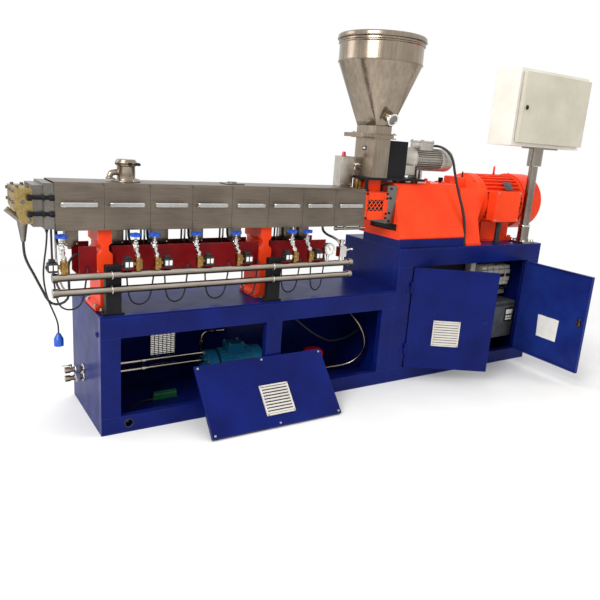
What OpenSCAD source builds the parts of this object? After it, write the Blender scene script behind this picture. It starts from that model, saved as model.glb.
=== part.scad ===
// Twin-screw plastic extruder on a welded sheet-metal base.
// Millimetres, +Z up. The origin is on the floor under the middle of the base.
// Inside the modules x runs from the base's left end, y from its front face.

/* [Base] */
// Length of the low base under the barrel
base_l = 1780; // [1500:10:2200]
// Length of the tall cabinet under the gearbox and motor
cab_l = 1316; // [1250:2:1500]
// Depth of the base and the cabinet
base_d = 560; // [520:10:640]
// Height of the low base's deck
deck_z = 600; // [560:5:680]
// Height of the cabinet's top
cab_z = 857; // [830:1:900]
// Wall sheet
sheet_t = 6; // [4:1:8]
// Deck plate
deck_t = 12; // [10:1:20]
// Cabinet top plate
cab_top_t = 8; // [6:1:12]
// Height of the front top rail of the low base
rail_h = 100; // [80:1:120]
// Height of the front bottom rails
foot_rail_h = 80; // [60:1:100]
// Depth of the front rails and stiles
frame_t = 40; // [30:1:60]
// Width of the low base's stiles
stile_w = 95; // [70:1:120]
// Distance from the left end to the middle stile
mid_stile_x = 885; // [800:5:950]
// Width of the cabinet's stiles
cab_stile_w = 117; // [90:1:140]
// Height of the cabinet's top rail
cab_rail_h = 107; // [90:1:130]
// Diameter of the cable hole in the bottom rail
cable_hole_d = 44; // [30:1:60]

/* [Doors] */
// Door thickness over its folded lips
door_t = 22; // [16:1:30]
// Sheet of doors, covers and boxes
skin_t = 2; // [1.5:0.5:3]
// Gap round a door
door_gap = 5; // [5:0.5:8]
// Radius of a hinge knuckle
knuckle_r = 8; // [7:0.5:10]
// Radius of a hinge pin
pin_r = 4; // [3:0.5:5]
// Running clearance of a hinge pin
pin_gap = 0.06; // [0.03:0.01:0.1]
// Length of one hinge half
knuckle_h = 34; // [25:1:45]
// Opening of the left cabinet door as it stands
left_door_open = 32; // [0:1:100]
// Opening of the right cabinet door as it stands
right_door_open = 87; // [0:1:100]
// Width of a louvred vent
louvre_w = 170; // [120:5:200]
// Height of a louvred vent
louvre_h = 165; // [120:5:220]
// Number of slats in a louvred vent
slats = 9; // [5:1:12]

/* [Drive] */
// Depth of the barrel's centre line behind the front face
axis_y = 200; // [185:1:215]
// Height of the barrel's centre line
axis_z = 1095; // [1080:1:1110]
// Height of the gearbox plinth
plinth_h = 50; // [40:1:70]
// Front edge of the plinth and of the gearbox's foot
gear_y = 18; // [10:1:40]
// Depth of the plinth
plinth_d = 354; // [330:1:400]
// Length of the gearbox
gear_l = 544; // [500:2:600]
// Depth of the gearbox at its foot
gear_d = 412; // [390:1:440]
// Height of the gearbox
gear_h = 333; // [310:1:360]
// Set-back of the gearbox's front at the top
gear_lean = 107; // [80:1:120]
// Edge radius of the gearbox housing
gear_r = 14; // [6:1:20]
// Length of the coupling guard
guard_l = 166; // [150:1:230]
// Height of the coupling guard
guard_h = 160; // [150:1:180]
// Depth of the coupling guard
guard_d = 240; // [220:1:260]
// Thickness of the gearbox's steel flange
gear_flange_t = 72; // [40:1:80]
// Depth of the motor's centre line behind the front face
motor_y = 305; // [300:1:320]
// Height of the motor's centre line
motor_z = 1122; // [1110:1:1135]
// Length of the bell housing between gearbox and motor
bell_l = 270; // [240:1:300]
// Width of the bell housing's front leg at its foot
bell_foot = 134; // [110:1:150]
// Thickness of the bell housing's front leg
leg_t = 96; // [80:1:110]
// Radius of the bell housing's neck flange
bell_r = 128; // [120:1:175]
// Length of the motor's ribbed body
motor_l = 400; // [360:1:440]
// Radius of the motor over its ribs
motor_r = 186; // [175:1:192]
// Number of ribs round the motor
ribs = 36; // [24:2:48]
// Length of the fan cowl
cowl_l = 188; // [150:1:200]
// Radius of the fan cowl
cowl_r = 196; // [190:1:200]

/* [Barrel] */
// Number of barrel zones, each with a cover
zones = 8; // [6:1:10]
// Length of one zone
zone_l = 213.5; // [205:0.5:215]
// Depth of a cover
cover_d = 238; // [220:1:250]
// Height of a cover
cover_h = 213; // [200:1:225]
// Bevel along a cover's top edges
cover_bevel = 14; // [8:1:20]
// Gap between two covers
cover_gap = 2; // [1:0.5:4]
// Depth of the barrel block
barrel_d = 150; // [130:1:170]
// Height of the barrel block
barrel_h = 150; // [130:1:160]
// Thickness of a barrel flange pair
flange_t = 36; // [30:1:50]
// Length of a cover's handle
handle_l = 168; // [140:1:180]
// Thickness of the die flanges together
die_flange_t = 87; // [60:1:90]
// Length of the die block
die_l = 70; // [60:1:100]
// Diameter of the vent port
vent_d = 84; // [70:1:100]
// Height of the vent port over the cover
vent_h = 94; // [70:1:110]

/* [Feeder] */
// Distance from the gearbox face back to the feeder's centre line
feeder_back = 132; // [125:1:140]
// Height of the feeder's base plate
feeder_z = 1252; // [1246:1:1260]
// Length of the feeder's base plate
feeder_plate_l = 445; // [430:5:480]
// Width of the feeder's box along the machine
feeder_w = 116; // [100:2:130]
// Depth of the feeder's box across the machine
feeder_deep = 180; // [160:2:200]
// Height of the feeder's box
feeder_h = 236; // [215:1:250]
// Thickness of the slide gate between body and hopper
gate_t = 30; // [20:1:40]
// Height of the hopper's cone
cone_h = 380; // [350:5:420]
// Height of the hopper's straight wall
drum_h = 120; // [110:5:170]
// Diameter of the hopper
hopper_d = 480; // [440:5:500]
// Diameter of the sight glass on the hopper
sight_d = 62; // [50:1:70]
// Length of the sight glass tube
sight_l = 105; // [95:1:120]
// Height of the hopper's lid
lid_h = 26; // [18:1:34]
// Diameter of the feeder motor
feed_motor_d = 140; // [120:1:150]
// Length of the feeder motor with its gear
feed_motor_l = 415; // [380:5:450]

/* [Water] */
// Outside diameter of a manifold pipe
pipe_d = 34; // [28:1:40]
// Height of the upper pipe
pipe_z = 795; // [785:1:810]
// Distance between the two pipes
pipe_pitch = 68; // [60:1:80]
// Length of the manifold pipes
pipe_l = 1590; // [1570:10:1620]
// How far the pipes stand out past the barrel's end
pipe_out = 24; // [0:1:60]
// Width of a pipe post
post_w = 72; // [60:1:80]
// Width of the hose trough
trough_d = 150; // [130:1:160]
// Height of the hose trough's walls
trough_h = 138; // [110:1:150]
// Diameter of a valve's handwheel
wheel_d = 58; // [48:1:62]

/* [Control] */
// Distance from the cabinet's right end to the control post
post_in = 136; // [124:1:146]
// Distance from the front face to the control post
post_y = 62; // [60:1:66]
// Diameter of the control post
post_d = 60; // [50:1:62]
// Width of the control box
box_w = 700; // [600:10:750]
// Height of the control box
box_h = 475; // [450:5:550]
// Depth of the control box behind its door
box_d = 193; // [160:1:220]
// Height of the control box's underside
box_z = 1510; // [1450:5:1550]

/* [Hidden] */
$fn = 48;
eps = 0.01;
total_l = base_l + cab_l;

// Cabinet and doors
cab_x = base_l;
open_x0 = cab_x + cab_stile_w;
open_x1 = total_l - cab_stile_w;
open_z0 = sheet_t + foot_rail_h;
open_z1 = cab_z - cab_top_t - cab_rail_h;
door_w = (open_x1 - open_x0) / 2 - 2 * door_gap;
door_h = open_z1 - open_z0 - 2 * door_gap;
door_z = open_z0 + door_gap;
hinge_y = -knuckle_r - 2;
leaf_t = 4;
leaf_w = 34;
hinge_in = 90;
hinge_rest = 0.3;
louvre_t = 10;

// Cable hatch in the base's back wall
hatch_x = 430;
hatch_w = 150;
hatch_z = 172;
hatch_h = 128;

// Drive line
gear_x = cab_x;
gear_z = cab_z + plinth_h;
gear_top = gear_z + gear_h;
flange_x = gear_x - gear_flange_t;
guard_x = flange_x - guard_l;
motor_x = gear_x + gear_l + bell_l;
cowl_x = motor_x + motor_l;

// Barrel
barrel_x1 = guard_x;
barrel_l = zones * zone_l;
barrel_x0 = barrel_x1 - barrel_l;
cover_z = axis_z - cover_h / 2;
cover_top = axis_z + cover_h / 2;
cover_y = axis_y - cover_d / 2;
barrel_bottom = axis_z - barrel_h / 2;

// Feeder
feeder_x = gear_x - feeder_back;
feeder_top = feeder_z + feeder_h;
hopper_z = feeder_top + gate_t;
rim_z = hopper_z + cone_h + drum_h;
plate_t = 14;
feed_motor_z = feeder_z + plate_t + feed_motor_d / 2 + 48;
gear_cover_l = 148;
neck_h = 40;

// Water pipes
pipe_y = 0;
low_pipe_z = pipe_z - pipe_pitch;
pipe_x0 = barrel_x0 - pipe_out;
// The stands are under the second and the sixth joint of the barrel
stand_w = 70;
stand_y = 104;
stand_xs = [for (i = [1, 5]) barrel_x0 + i * zone_l - 27.5];
post_xs = [for (x = stand_xs) x + 13];
// Each valve's place from the barrel's end, and the side its coil is on
valves = [for (v = [[16, -1], [345, -1], [436, 1], [648, 1], [864, 1], [1200, -1], [1297, 1]])
    [barrel_x0 + v[0], v[1]]];
gauge_x = barrel_x0 + 1411;
gauge_r = 31;
valve_w = 30;
valve_z = pipe_z + pipe_d / 2 + 8;
valve_h = 48;
needle_y = pipe_y + 42;
needle_z = valve_z + valve_h + 36;
needle_h = 44;
wheel_z = needle_z + needle_h + 16;
riser_r = 6;
riser_y = 150;
riser_z = needle_z + 20;

// Control box
post_x = total_l - post_in;
box_x0 = post_x - box_w / 2 - 1;
box_x1 = box_x0 + box_w;
box_y0 = -8;
box_door_t = 28;
box_rim = 34;
box_door_in = 22;
box_pin_x = box_x1 + 9;
box_pin_y = box_y0 - door_gap / 2;
box_knuckle_r = 7;
box_pin_r = 3;

// Loose cover panel leaning on the middle stile
panel_w = 770;
panel_h = 385;
panel_t = 20;
panel_x = 462;
panel_lean = 42;

// Cord routes
function from(x, pts) = [for (q = pts) q + [x, 0, 0]];
feed_lead_pts = from(gear_x, [[314, 200, 1470], [350, 200, 1470], [385, 180, 1470], [412, 138, 1450],
    [435, 100, 1400],
    [455, 85, 1320], [480, 75, 1240], [505, 60, 1160], [530, 42, 1080], [551, 34, 1000],
    [560, 30, 930], [561, 30, 890], [561, 30, 857]]);
motor_conduit_pts = from(motor_x, [[124, 84, 1012], [124, 84, 976], [121, 82, 930], [118, 80, 890],
    [118, 80, 857]]);
die_cable_pts = from(barrel_x0, [[-114.5, 200, 926], [-114.5, 200, 896], [-110.5, 200, 858], [-98.5,
    200, 821],
    [-80, 200, 781], [-55.8, 200, 726], [-39.7, 200, 689.4], [-23.5, 200, 652.8], [-4.3, 200, 630.4],
    [24, 200, 622], [52.3, 200, 630.4], [69, 200, 648], [76, 200, 674], [76, 200, 716], [76, 200, 762],
    [76, 200, 804], [83.5, 200, 832], [104, 200, 852.5], [132, 200, 860], [158, 200, 860], [186, 200,
        860]]);
plug_lead_pts = from(barrel_x0, [[-24, 150, 995], [-24, 150, 960], [-30, 150, 900], [-39, 150, 840],
    [-44, 150, 780],
    [-39, 150, 715], [-24, 150, 650], [-4, 150, 595], [10, 150, 550], [13, 150, 525], [13, 150, 495]]);

blue = [0.10, 0.14, 0.42];
orange = [0.93, 0.28, 0.16];
steel = [0.62, 0.62, 0.63];
stainless = [0.55, 0.53, 0.50];
dark = [0.12, 0.12, 0.13];
cream = [0.85, 0.83, 0.77];
brass = [0.72, 0.55, 0.28];

module placed() {
    translate([-total_l / 2, -base_d / 2, 0]) children();
}

module block(x0, x1, y0, y1, z0, z1) {
    translate([x0, y0, z0]) cube([x1 - x0, y1 - y0, z1 - z0]);
}

// A cylinder along X from x0 over a length
module rod_x(x0, y, z, r, l) {
    translate([x0, y, z]) rotate([0, 90, 0]) cylinder(r = r, h = l);
}

// A cylinder along Y from y0 over a length
module rod_y(x, y0, z, r, l) {
    translate([x, y0, z]) rotate([-90, 0, 0]) cylinder(r = r, h = l);
}

module rod_z(x, y, z0, r, l) {
    translate([x, y, z0]) cylinder(r = r, h = l);
}

function unit(v) = v / norm(v);
function tangent(p, i) = unit(p[min(i + 1, len(p) - 1)] - p[max(i - 1, 0)]);
function ring(p, i, r, n, side) =
    let (t = tangent(p, i), u = unit(cross(t, side)), w = cross(t, u))
    [for (k = [0:n - 1]) p[i] + r * (cos(360 * k / n) * u + sin(360 * k / n) * w)];

// A tube along a list of points
module cord(p, r, side = [0.3, 1, 0.2]) {
    n = 8;
    m = len(p);
    points = [for (i = [0:m - 1]) each ring(p, i, r, n, side)];
    walls = [for (i = [0:m - 2], k = [0:n - 1])
        [i * n + k, i * n + (k + 1) % n, (i + 1) * n + (k + 1) % n, (i + 1) * n + k]];
    first = [for (k = [n - 1:-1:0]) k];
    last = [for (k = [0:n - 1]) (m - 1) * n + k];
    polyhedron(points, concat(walls, [first, last]));
}

// A louvred vent that stands on the plane y = 0 and looks to the front
module louvre(w, h) {
    pitch = (h - 16) / slats;
    difference() {
        translate([0, -louvre_t, 0]) cube([w, louvre_t, h]);
        translate([8, -louvre_t - 1, 8]) cube([w - 16, louvre_t + 2, h - 16]);
    }
    for (i = [0:slats - 1]) {
        translate([4, 1 - louvre_t, 8 + (i + 0.15) * pitch]) rotate([-25, 0, 0])
            cube([w - 8, 2, pitch * 0.75]);
    }
}

// Base

module floor_pan() {
    color(blue) placed() block(0, total_l, 0, base_d, 0, sheet_t);
}

module deck() {
    color(blue) placed() block(0, base_l, 0, base_d, deck_z - deck_t, deck_z);
}

module left_end_wall() {
    color(blue) placed() difference() {
        block(0, sheet_t, frame_t, base_d, sheet_t, deck_z - deck_t);
        for (z = drain_zs) {
            rod_x(-eps, drain_y, z, drain_r + 3, sheet_t + 2 * eps);
        }
    }
}

module base_back_wall() {
    color(blue) placed() difference() {
        block(sheet_t, base_l, base_d - sheet_t, base_d, sheet_t, deck_z - deck_t);
        block(hatch_x, hatch_x + hatch_w, base_d - sheet_t - eps, base_d + eps, hatch_z, hatch_z + hatch_h);
    }
}

module front_rails() {
    color(blue) placed() {
        block(0, base_l, 0, frame_t, deck_z - deck_t - rail_h, deck_z - deck_t);
        difference() {
            block(0, base_l, 0, frame_t, sheet_t, sheet_t + foot_rail_h);
            rod_y(stile_w + 40, -eps, sheet_t + foot_rail_h / 2, cable_hole_d / 2, frame_t + 2 * eps);
        }
    }
}

module front_stiles() {
    color(blue) placed() {
        for (x = [0, mid_stile_x, base_l - stile_w]) {
            block(x, x + stile_w, 0, frame_t, sheet_t + foot_rail_h, deck_z - deck_t - rail_h);
        }
    }
}

// Cabinet

module cabinet_side_walls() {
    color(blue) placed() for (x = [cab_x, total_l - sheet_t]) {
        block(x, x + sheet_t, frame_t, base_d, sheet_t, cab_z - cab_top_t);
    }
}

module cabinet_back_wall() {
    color(blue) placed()
        block(cab_x + sheet_t, total_l - sheet_t, base_d - sheet_t, base_d, sheet_t, cab_z - cab_top_t);
}

module cabinet_top() {
    color(blue) placed() block(cab_x, total_l, 0, base_d, cab_z - cab_top_t, cab_z);
}

module cabinet_rails() {
    color(blue) placed() {
        block(cab_x, total_l, 0, frame_t, open_z1, cab_z - cab_top_t);
        block(cab_x, total_l, 0, frame_t, sheet_t, open_z0);
    }
}

// The lower half of a lift-off hinge with its pin, leaf to -X, on the plane y = 0
module hinge_post(z) {
    translate([0, hinge_y, z]) cylinder(r = knuckle_r, h = knuckle_h);
    translate([0, hinge_y, z]) cylinder(r = pin_r, h = 2 * knuckle_h);
    translate([-leaf_w, -leaf_t, z]) cube([leaf_w, leaf_t, knuckle_h]);
}

// The upper half of a lift-off hinge, leaf to +X; it goes over the pin
module hinge_sleeve(z) {
    translate([0, hinge_y, z + knuckle_h + hinge_rest]) cylinder(r = knuckle_r, h = knuckle_h);
    translate([3, -leaf_t, z + knuckle_h + hinge_rest]) cube([leaf_w - 3, leaf_t, knuckle_h]);
}

module sleeve_bore(z) {
    translate([0, hinge_y, z + knuckle_h]) cylinder(r = pin_r + pin_gap, h = knuckle_h + 2);
}

hinge_zs = [door_z + hinge_in, door_z + door_h - hinge_in - 2 * knuckle_h];

module cabinet_stiles() {
    color(blue) placed() {
        block(cab_x, open_x0, 0, frame_t, open_z0, open_z1);
        block(open_x1, total_l, 0, frame_t, open_z0, open_z1);
        for (z = hinge_zs) {
            translate([open_x0, 0, 0]) hinge_post(z);
            translate([open_x1, 0, 0]) mirror([1, 0, 0]) hinge_post(z);
        }
    }
}

// A cabinet door in its closed place, hinged at x = 0 and open to the back inside its lips
module door_leaf() {
    difference() {
        union() {
            translate([door_gap, 0, door_z]) cube([door_w, door_t, door_h]);
            for (z = hinge_zs) hinge_sleeve(z);
        }
        translate([door_gap + skin_t, skin_t, door_z + skin_t])
            cube([door_w - 2 * skin_t, door_t, door_h - 2 * skin_t]);
        for (z = hinge_zs) sleeve_bore(z);
    }
    // lock near the free edge
    translate([door_gap + door_w - 45, 0, door_z + door_h / 2]) rotate([90, 0, 0]) cylinder(r = 14, h = 5);
    translate([door_gap + door_w - 45, skin_t - eps, door_z + door_h / 2])
        rotate([-90, 0, 0]) cylinder(r = 11, h = 16);
}

// Puts a closed left-hand door at its hinge, opened by an angle
module at_left_hinge(angle) {
    translate([open_x0, hinge_y, 0]) rotate([0, 0, -angle]) translate([0, -hinge_y, 0]) children();
}

module at_right_hinge(angle) {
    translate([open_x1, hinge_y, 0]) rotate([0, 0, angle]) translate([0, -hinge_y, 0])
        mirror([1, 0, 0]) children();
}

module left_door() {
    color(blue) placed() at_left_hinge(left_door_open) door_leaf();
}

module left_door_louvre() {
    color("white") placed() at_left_hinge(left_door_open)
        translate([door_gap + 156, 0, door_z + 155]) louvre(louvre_w, louvre_h);
}

module right_door() {
    color(blue) placed() at_right_hinge(right_door_open) door_leaf();
}

mount_y = 260;
module mounting_plate() {
    color(steel) placed() block(open_x0 - 40, open_x1 + 60, mount_y, mount_y + 4, sheet_t, open_z1);
}

inverter_w = 240;
inverter_h = 270;
inverter_d = 180;
contactor_w = 54;
contactor_h = 150;
contactor_d = 90;

module inverter_drive() {
    x1 = open_x1 + 48;
    color(dark) placed() {
        block(x1 - inverter_w, x1, mount_y - inverter_d, mount_y, 150, 150 + inverter_h);
        for (i = [0:4]) {
            x = x1 - contactor_w - (contactor_w + 8) * i;
            block(x, x + contactor_w, mount_y - contactor_d, mount_y, 520, 520 + contactor_h);
        }
    }
}

// Drive

module gearbox_plinth() {
    color(blue) placed() block(gear_x, gear_x + gear_l, gear_y, gear_y + plinth_d, cab_z, gear_z);
}

// The housing's section: upright back, front leaning in towards the top
module gearbox_housing() {
    color(orange) placed() difference() {
        hull() {
            for (q = [[gear_y + gear_r, gear_z + gear_r], [gear_y + gear_d - gear_r, gear_z + gear_r],
                    [gear_y + gear_d - gear_r, gear_top - gear_r],
                    [gear_y + gear_lean + gear_r, gear_top - gear_r]]) {
                translate([gear_x, q[0], q[1]]) rotate([0, 90, 0]) cylinder(r = gear_r, h = gear_l,
                    $fn = 32);
            }
        }
        block(gear_x - 1, gear_x + 30, gear_y + 44, gear_y + 297, gear_z + 48, gear_z + 90);
    }
}

module gearbox_flange() {
    color(steel) placed() {
        block(flange_x, gear_x, axis_y - guard_d / 2 + 12, axis_y + guard_d / 2 - 12,
            axis_z - guard_h / 2 - 15, axis_z + guard_h / 2 + 49);
    }
}

module coupling_guard() {
    y0 = axis_y - guard_d / 2;
    z0 = axis_z - guard_h / 2 + 10;
    wx0 = guard_x + 16;
    wx1 = flange_x - 32;
    wz0 = z0 + 50;
    wz1 = z0 + guard_h - 44;
    bars = 8;
    rows = 4;
    color(orange) placed() {
        difference() {
            block(guard_x, flange_x, y0, y0 + guard_d, z0, z0 + guard_h);
            block(guard_x - 1, flange_x + 1, y0 + skin_t, y0 + guard_d - skin_t, z0 + skin_t,
                z0 + guard_h - skin_t);
            block(wx0, wx1, y0 - 1, y0 + skin_t + 1, wz0, wz1);
        }
        // expanded mesh in the window
        for (i = [1:bars]) {
            x = wx0 + (wx1 - wx0) * i / (bars + 1);
            block(x - 2, x + 2, y0 + 0.2, y0 + skin_t - 0.2, wz0 - 1, wz1 + 1);
        }
        for (i = [1:rows]) {
            z = wz0 + (wz1 - wz0) * i / (rows + 1);
            block(wx0 - 1, wx1 + 1, y0 + 0.2, y0 + skin_t - 0.2, z - 2, z + 2);
        }
    }
}

module screw_couplings() {
    color(steel) placed() for (s = [-1, 1]) {
        rod_x(guard_x, axis_y + s * 23, axis_z, 15, guard_l);
        rod_x(guard_x + 50, axis_y + s * 23, axis_z, 22, guard_l - 100);
    }
}

// Neck, cone and motor flange, carried by a front leg that leans like the gearbox
module bell_housing() {
    x0 = gear_x + gear_l;
    leg_x0 = x0 + 32;
    leg_x1 = leg_x0 + bell_foot;
    lean = atan2(gear_lean, gear_h);
    leg_h = (motor_z + 96 - cab_z) / cos(lean);
    flange_x0 = motor_x - 34;
    color(orange) placed() {
        rod_x(x0, motor_y, motor_z, bell_r - 22, bell_l);
        rod_x(x0, motor_y, motor_z, bell_r, 26);
        translate([flange_x0 - 70, motor_y, motor_z]) rotate([0, 90, 0])
            cylinder(r1 = bell_r - 22, r2 = motor_r, h = 70 + eps);
        rod_x(flange_x0, motor_y, motor_z, motor_r, 34);
        block(flange_x0 - 40, motor_x, motor_y - 120, motor_y + 120, cab_z, motor_z);
        intersection() {
            translate([0, gear_y + 4, cab_z]) rotate([-lean, 0, 0]) translate([0, leg_t,
                -60]) rotate([90, 0, 0])
                linear_extrude(leg_t)
                    polygon([[leg_x0, 0], [leg_x1, 0], [leg_x1 + 6, 240], [leg_x1 + 52, 320],
                        [motor_x - 6, 380],
                        [motor_x - 6, leg_h + 60], [leg_x0, leg_h + 60]]);
            block(leg_x0 - 1, motor_x, gear_y, motor_y, cab_z, motor_z + 150);
        }
        block(leg_x0, leg_x1, gear_y - 2, gear_y + leg_t + 20, cab_z, cab_z + 18);
    }
}

module motor_body() {
    rib_t = 7;
    core = motor_r - 22;
    end_t = 24;
    color(orange) placed() {
        translate([motor_x, motor_y, motor_z]) rotate([0, 90, 0]) {
            translate([0, 0, end_t - 1]) linear_extrude(motor_l - 2 * end_t + 2) {
                circle(r = core);
                for (k = [0:ribs - 1]) {
                    rotate((k + 0.5) * 360 / ribs) translate([core - 6, -rib_t / 2]) square([28, rib_t]);
                }
            }
            cylinder(r = motor_r + 2, h = end_t);
            translate([0, 0, motor_l - end_t]) cylinder(r = motor_r + 2, h = end_t);
        }
        // foot rails
        for (s = [-1, 1]) {
            y = motor_y + s * 112;
            block(motor_x + 40, motor_x + motor_l - 40, y - 45, y + 45, cab_z, cab_z + 20);
            block(motor_x + 60, motor_x + motor_l - 60, y - 14, y + 14, cab_z + 10, motor_z - 90);
        }
        // lifting eye
        translate([motor_x + 0.64 * motor_l, motor_y, motor_z]) rotate([0, 0, 41]) {
            translate([0, 0, core - 5]) cylinder(r = 9, h = motor_r - core + 14);
            translate([0, 7, motor_r + 29]) rotate([90, 0, 0]) linear_extrude(14) difference() {
                circle(r = 27);
                circle(r = 14);
            }
        }
    }
}

module motor_fan_cowl() {
    color(orange) placed() translate([cowl_x, motor_y, motor_z]) rotate([0, 90, 0]) {
        rotate_extrude() polygon([[0, 0], [cowl_r, 0], [cowl_r, cowl_l - 20], [cowl_r - 5, cowl_l - 8],
            [cowl_r - 20, cowl_l], [0, cowl_l]]);
    }
}

module motor_terminal_box() {
    y1 = motor_y - motor_r - 2;
    color(orange) placed() {
        block(motor_x + 26, motor_x + 252, y1 - 66, y1, motor_z - 110, motor_z + 82);
        block(motor_x + 20, motor_x + 258, y1 - 76, y1 - 60, motor_z - 116, motor_z + 88);
    }
}

// Control post and box

module control_post() {
    color(steel) placed() {
        block(post_x - 60, post_x + 60, 2, 2 * post_y - 2, cab_z, cab_z + 12);
        rod_z(post_x, post_y, cab_z, post_d / 2 + 8, 119);
        rod_z(post_x, post_y, cab_z, post_d / 2 + 13, 30);
        rod_z(post_x, post_y, cab_z, post_d / 2, box_z - cab_z - 10);
        rod_z(post_x, post_y, box_z - 122, post_d / 2 + 18, 112);
        block(post_x - 80, post_x + 160, post_y - 50, post_y + 60, box_z - 10, box_z);
    }
}

module control_box() {
    color(cream) placed() {
        difference() {
            block(box_x0, box_x1, box_y0, box_y0 + box_d, box_z, box_z + box_h);
            block(box_x0 + skin_t, box_x1 - skin_t, box_y0 + skin_t, box_y0 + box_d - skin_t,
                box_z + skin_t, box_z + box_h - skin_t);
            block(box_x0 + box_rim, box_x1 - box_rim, box_y0 - 1, box_y0 + skin_t + 1,
                box_z + box_rim, box_z + box_h - box_rim);
        }
        for (z = box_hinge_zs) {
            translate([box_pin_x, box_pin_y, z]) cylinder(r = box_knuckle_r, h = knuckle_h);
            translate([box_pin_x, box_pin_y, z]) cylinder(r = box_pin_r, h = 2 * knuckle_h);
            block(box_x1, box_x1 + 5, box_pin_y, box_y0 + 30, z, z + knuckle_h);
        }
    }
}

box_hinge_zs = [box_z + 60, box_z + box_h - 60 - 2 * knuckle_h];

// The door lies on the box's rim and is a little smaller than the box
module control_box_door() {
    x0 = box_x0 + box_door_in;
    x1 = box_x1 - box_door_in / 2;
    y1 = box_y0 - door_gap;
    y0 = y1 - box_door_t;
    z0 = box_z + box_door_in;
    z1 = box_z + box_h - box_door_in;
    color(cream) placed() {
        difference() {
            union() {
                block(x0, x1, y0, y1, z0, z1);
                for (z = box_hinge_zs) {
                    translate([box_pin_x, box_pin_y, z + knuckle_h + hinge_rest])
                        cylinder(r = box_knuckle_r, h = knuckle_h);
                    block(x1 - 1, box_x1 + 7, y1 - 14, y1, z + knuckle_h + hinge_rest, z + 2 * knuckle_h);
                }
            }
            block(x0 + skin_t, x1 - skin_t, y0 + skin_t, y1 + 1, z0 + skin_t, z1 - skin_t);
            for (z = box_hinge_zs) {
                translate([box_pin_x, box_pin_y, z + knuckle_h]) cylinder(r = box_pin_r + pin_gap,
                    h = knuckle_h + 2);
            }
        }
        rod_y(x0 + 35, y0 - 6, box_z + box_h / 2, 13, 6 + skin_t);
    }
}

// Feeder

module feeder_plate() {
    color(dark) placed() {
        block(feeder_x - 85, feeder_x - 85 + feeder_plate_l, axis_y - 95, axis_y + 95, feeder_z,
            feeder_z + plate_t);
        for (x = [gear_x + 30, gear_x + 180], y = [axis_y - 50, axis_y + 60]) {
            block(x, x + 30, y, y + 30, gear_top, feeder_z);
        }
    }
}

module feeder_body() {
    w = feeder_w / 2;
    d = feeder_deep / 2;
    lip = 22;
    mid = feeder_top + gate_t / 2;
    color(stainless) placed() {
        block(feeder_x - w, feeder_x + w, axis_y - d, axis_y + d, feeder_z + plate_t, feeder_top);
        block(feeder_x - w - lip, feeder_x + w + lip, axis_y - d - lip, axis_y + d + lip, feeder_top,
            feeder_top + 6);
        block(feeder_x - w - lip, feeder_x + w + lip, axis_y - d - lip, axis_y + d + lip,
            feeder_top + gate_t - 6, feeder_top + gate_t);
        // slide of the gate, pulled out to the left by its bent end
        block(feeder_x - w - 84, feeder_x + w + lip, axis_y - d, axis_y + d, feeder_top + 6,
            feeder_top + gate_t - 6);
        block(feeder_x - w - 90, feeder_x - w - 84, axis_y - d, axis_y + d, feeder_top + 2, mid + 10);
    }
}

// Round wall, cone and square neck, all of one sheet
module hopper_form(grow) {
    r = hopper_d / 2 + grow;
    w = feeder_w / 2 + grow;
    d = feeder_deep / 2 + grow;
    translate([-w, -d, 0]) cube([2 * w, 2 * d, neck_h + eps]);
    hull() {
        translate([-w, -d, neck_h]) cube([2 * w, 2 * d, eps]);
        translate([0, 0, cone_h]) cylinder(r = r, h = eps, $fn = 64);
    }
    translate([0, 0, cone_h]) cylinder(r = r, h = drum_h, $fn = 64);
}

module feed_hopper() {
    color(stainless) placed() translate([feeder_x, axis_y, hopper_z]) {
        difference() {
            union() {
                hopper_form(0);
                sight_tube(sight_d / 2, sight_l);
                translate([0, 0, cone_h + drum_h - 22]) cylinder(r = hopper_d / 2 + 7, h = 8, $fn = 64);
            }
            translate([0, 0, -eps]) hopper_form(-skin_t);
            translate([0, 0, cone_h + drum_h - 1]) cylinder(r = hopper_d / 2 - skin_t, h = 3, $fn = 64);
        }
    }
}

// The sight glass stands square to the cone on its front right
module sight_tube(r, l) {
    translate([-0.02 * hopper_d, -0.2 * hopper_d, 0.33 * cone_h]) rotate([0, 0, -42]) rotate([0, 128, 0])
        cylinder(r = r, h = l, $fn = 32);
}

module hopper_lid() {
    color(stainless) placed() translate([feeder_x, axis_y, rim_z]) rotate_extrude($fn = 64)
        polygon([[0, 0], [hopper_d / 2 + 12, 0], [hopper_d / 2 + 12, lid_h - 6], [hopper_d / 2 + 6, lid_h],
            [hopper_d / 2 - 10, lid_h + 2], [0, lid_h + 8]]);
}

module feeder_gear_cover() {
    x0 = feeder_x + feeder_w / 2;
    color(dark) placed() block(x0, x0 + gear_cover_l, axis_y - 80, axis_y + 80, feeder_z + plate_t,
        feeder_top - 6);
}

module feeder_motor() {
    x0 = feeder_x + feeder_w / 2 + gear_cover_l;
    r = feed_motor_d / 2;
    color(steel) placed() {
        block(x0, x0 + 110, axis_y - r, axis_y + r, feed_motor_z - r - 30, feed_motor_z + r);
        rod_x(x0 + 110, axis_y, feed_motor_z, r, feed_motor_l - 110);
        block(x0 + 130, x0 + 240, axis_y - 50, axis_y + 50, feed_motor_z + r - 14, feed_motor_z + r + 42);
    }
}

module feed_throat() {
    color(orange) placed() {
        block(feeder_x - 50, feeder_x + 50, axis_y - 50, axis_y + 50, axis_z + guard_h / 2 + 10, feeder_z);
    }
}

module junction_box() {
    color(steel) placed() block(barrel_x1 - 75, barrel_x1 + 18, axis_y + 50, axis_y + 118, cover_top,
        cover_top + 174);
}

// Barrel

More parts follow.
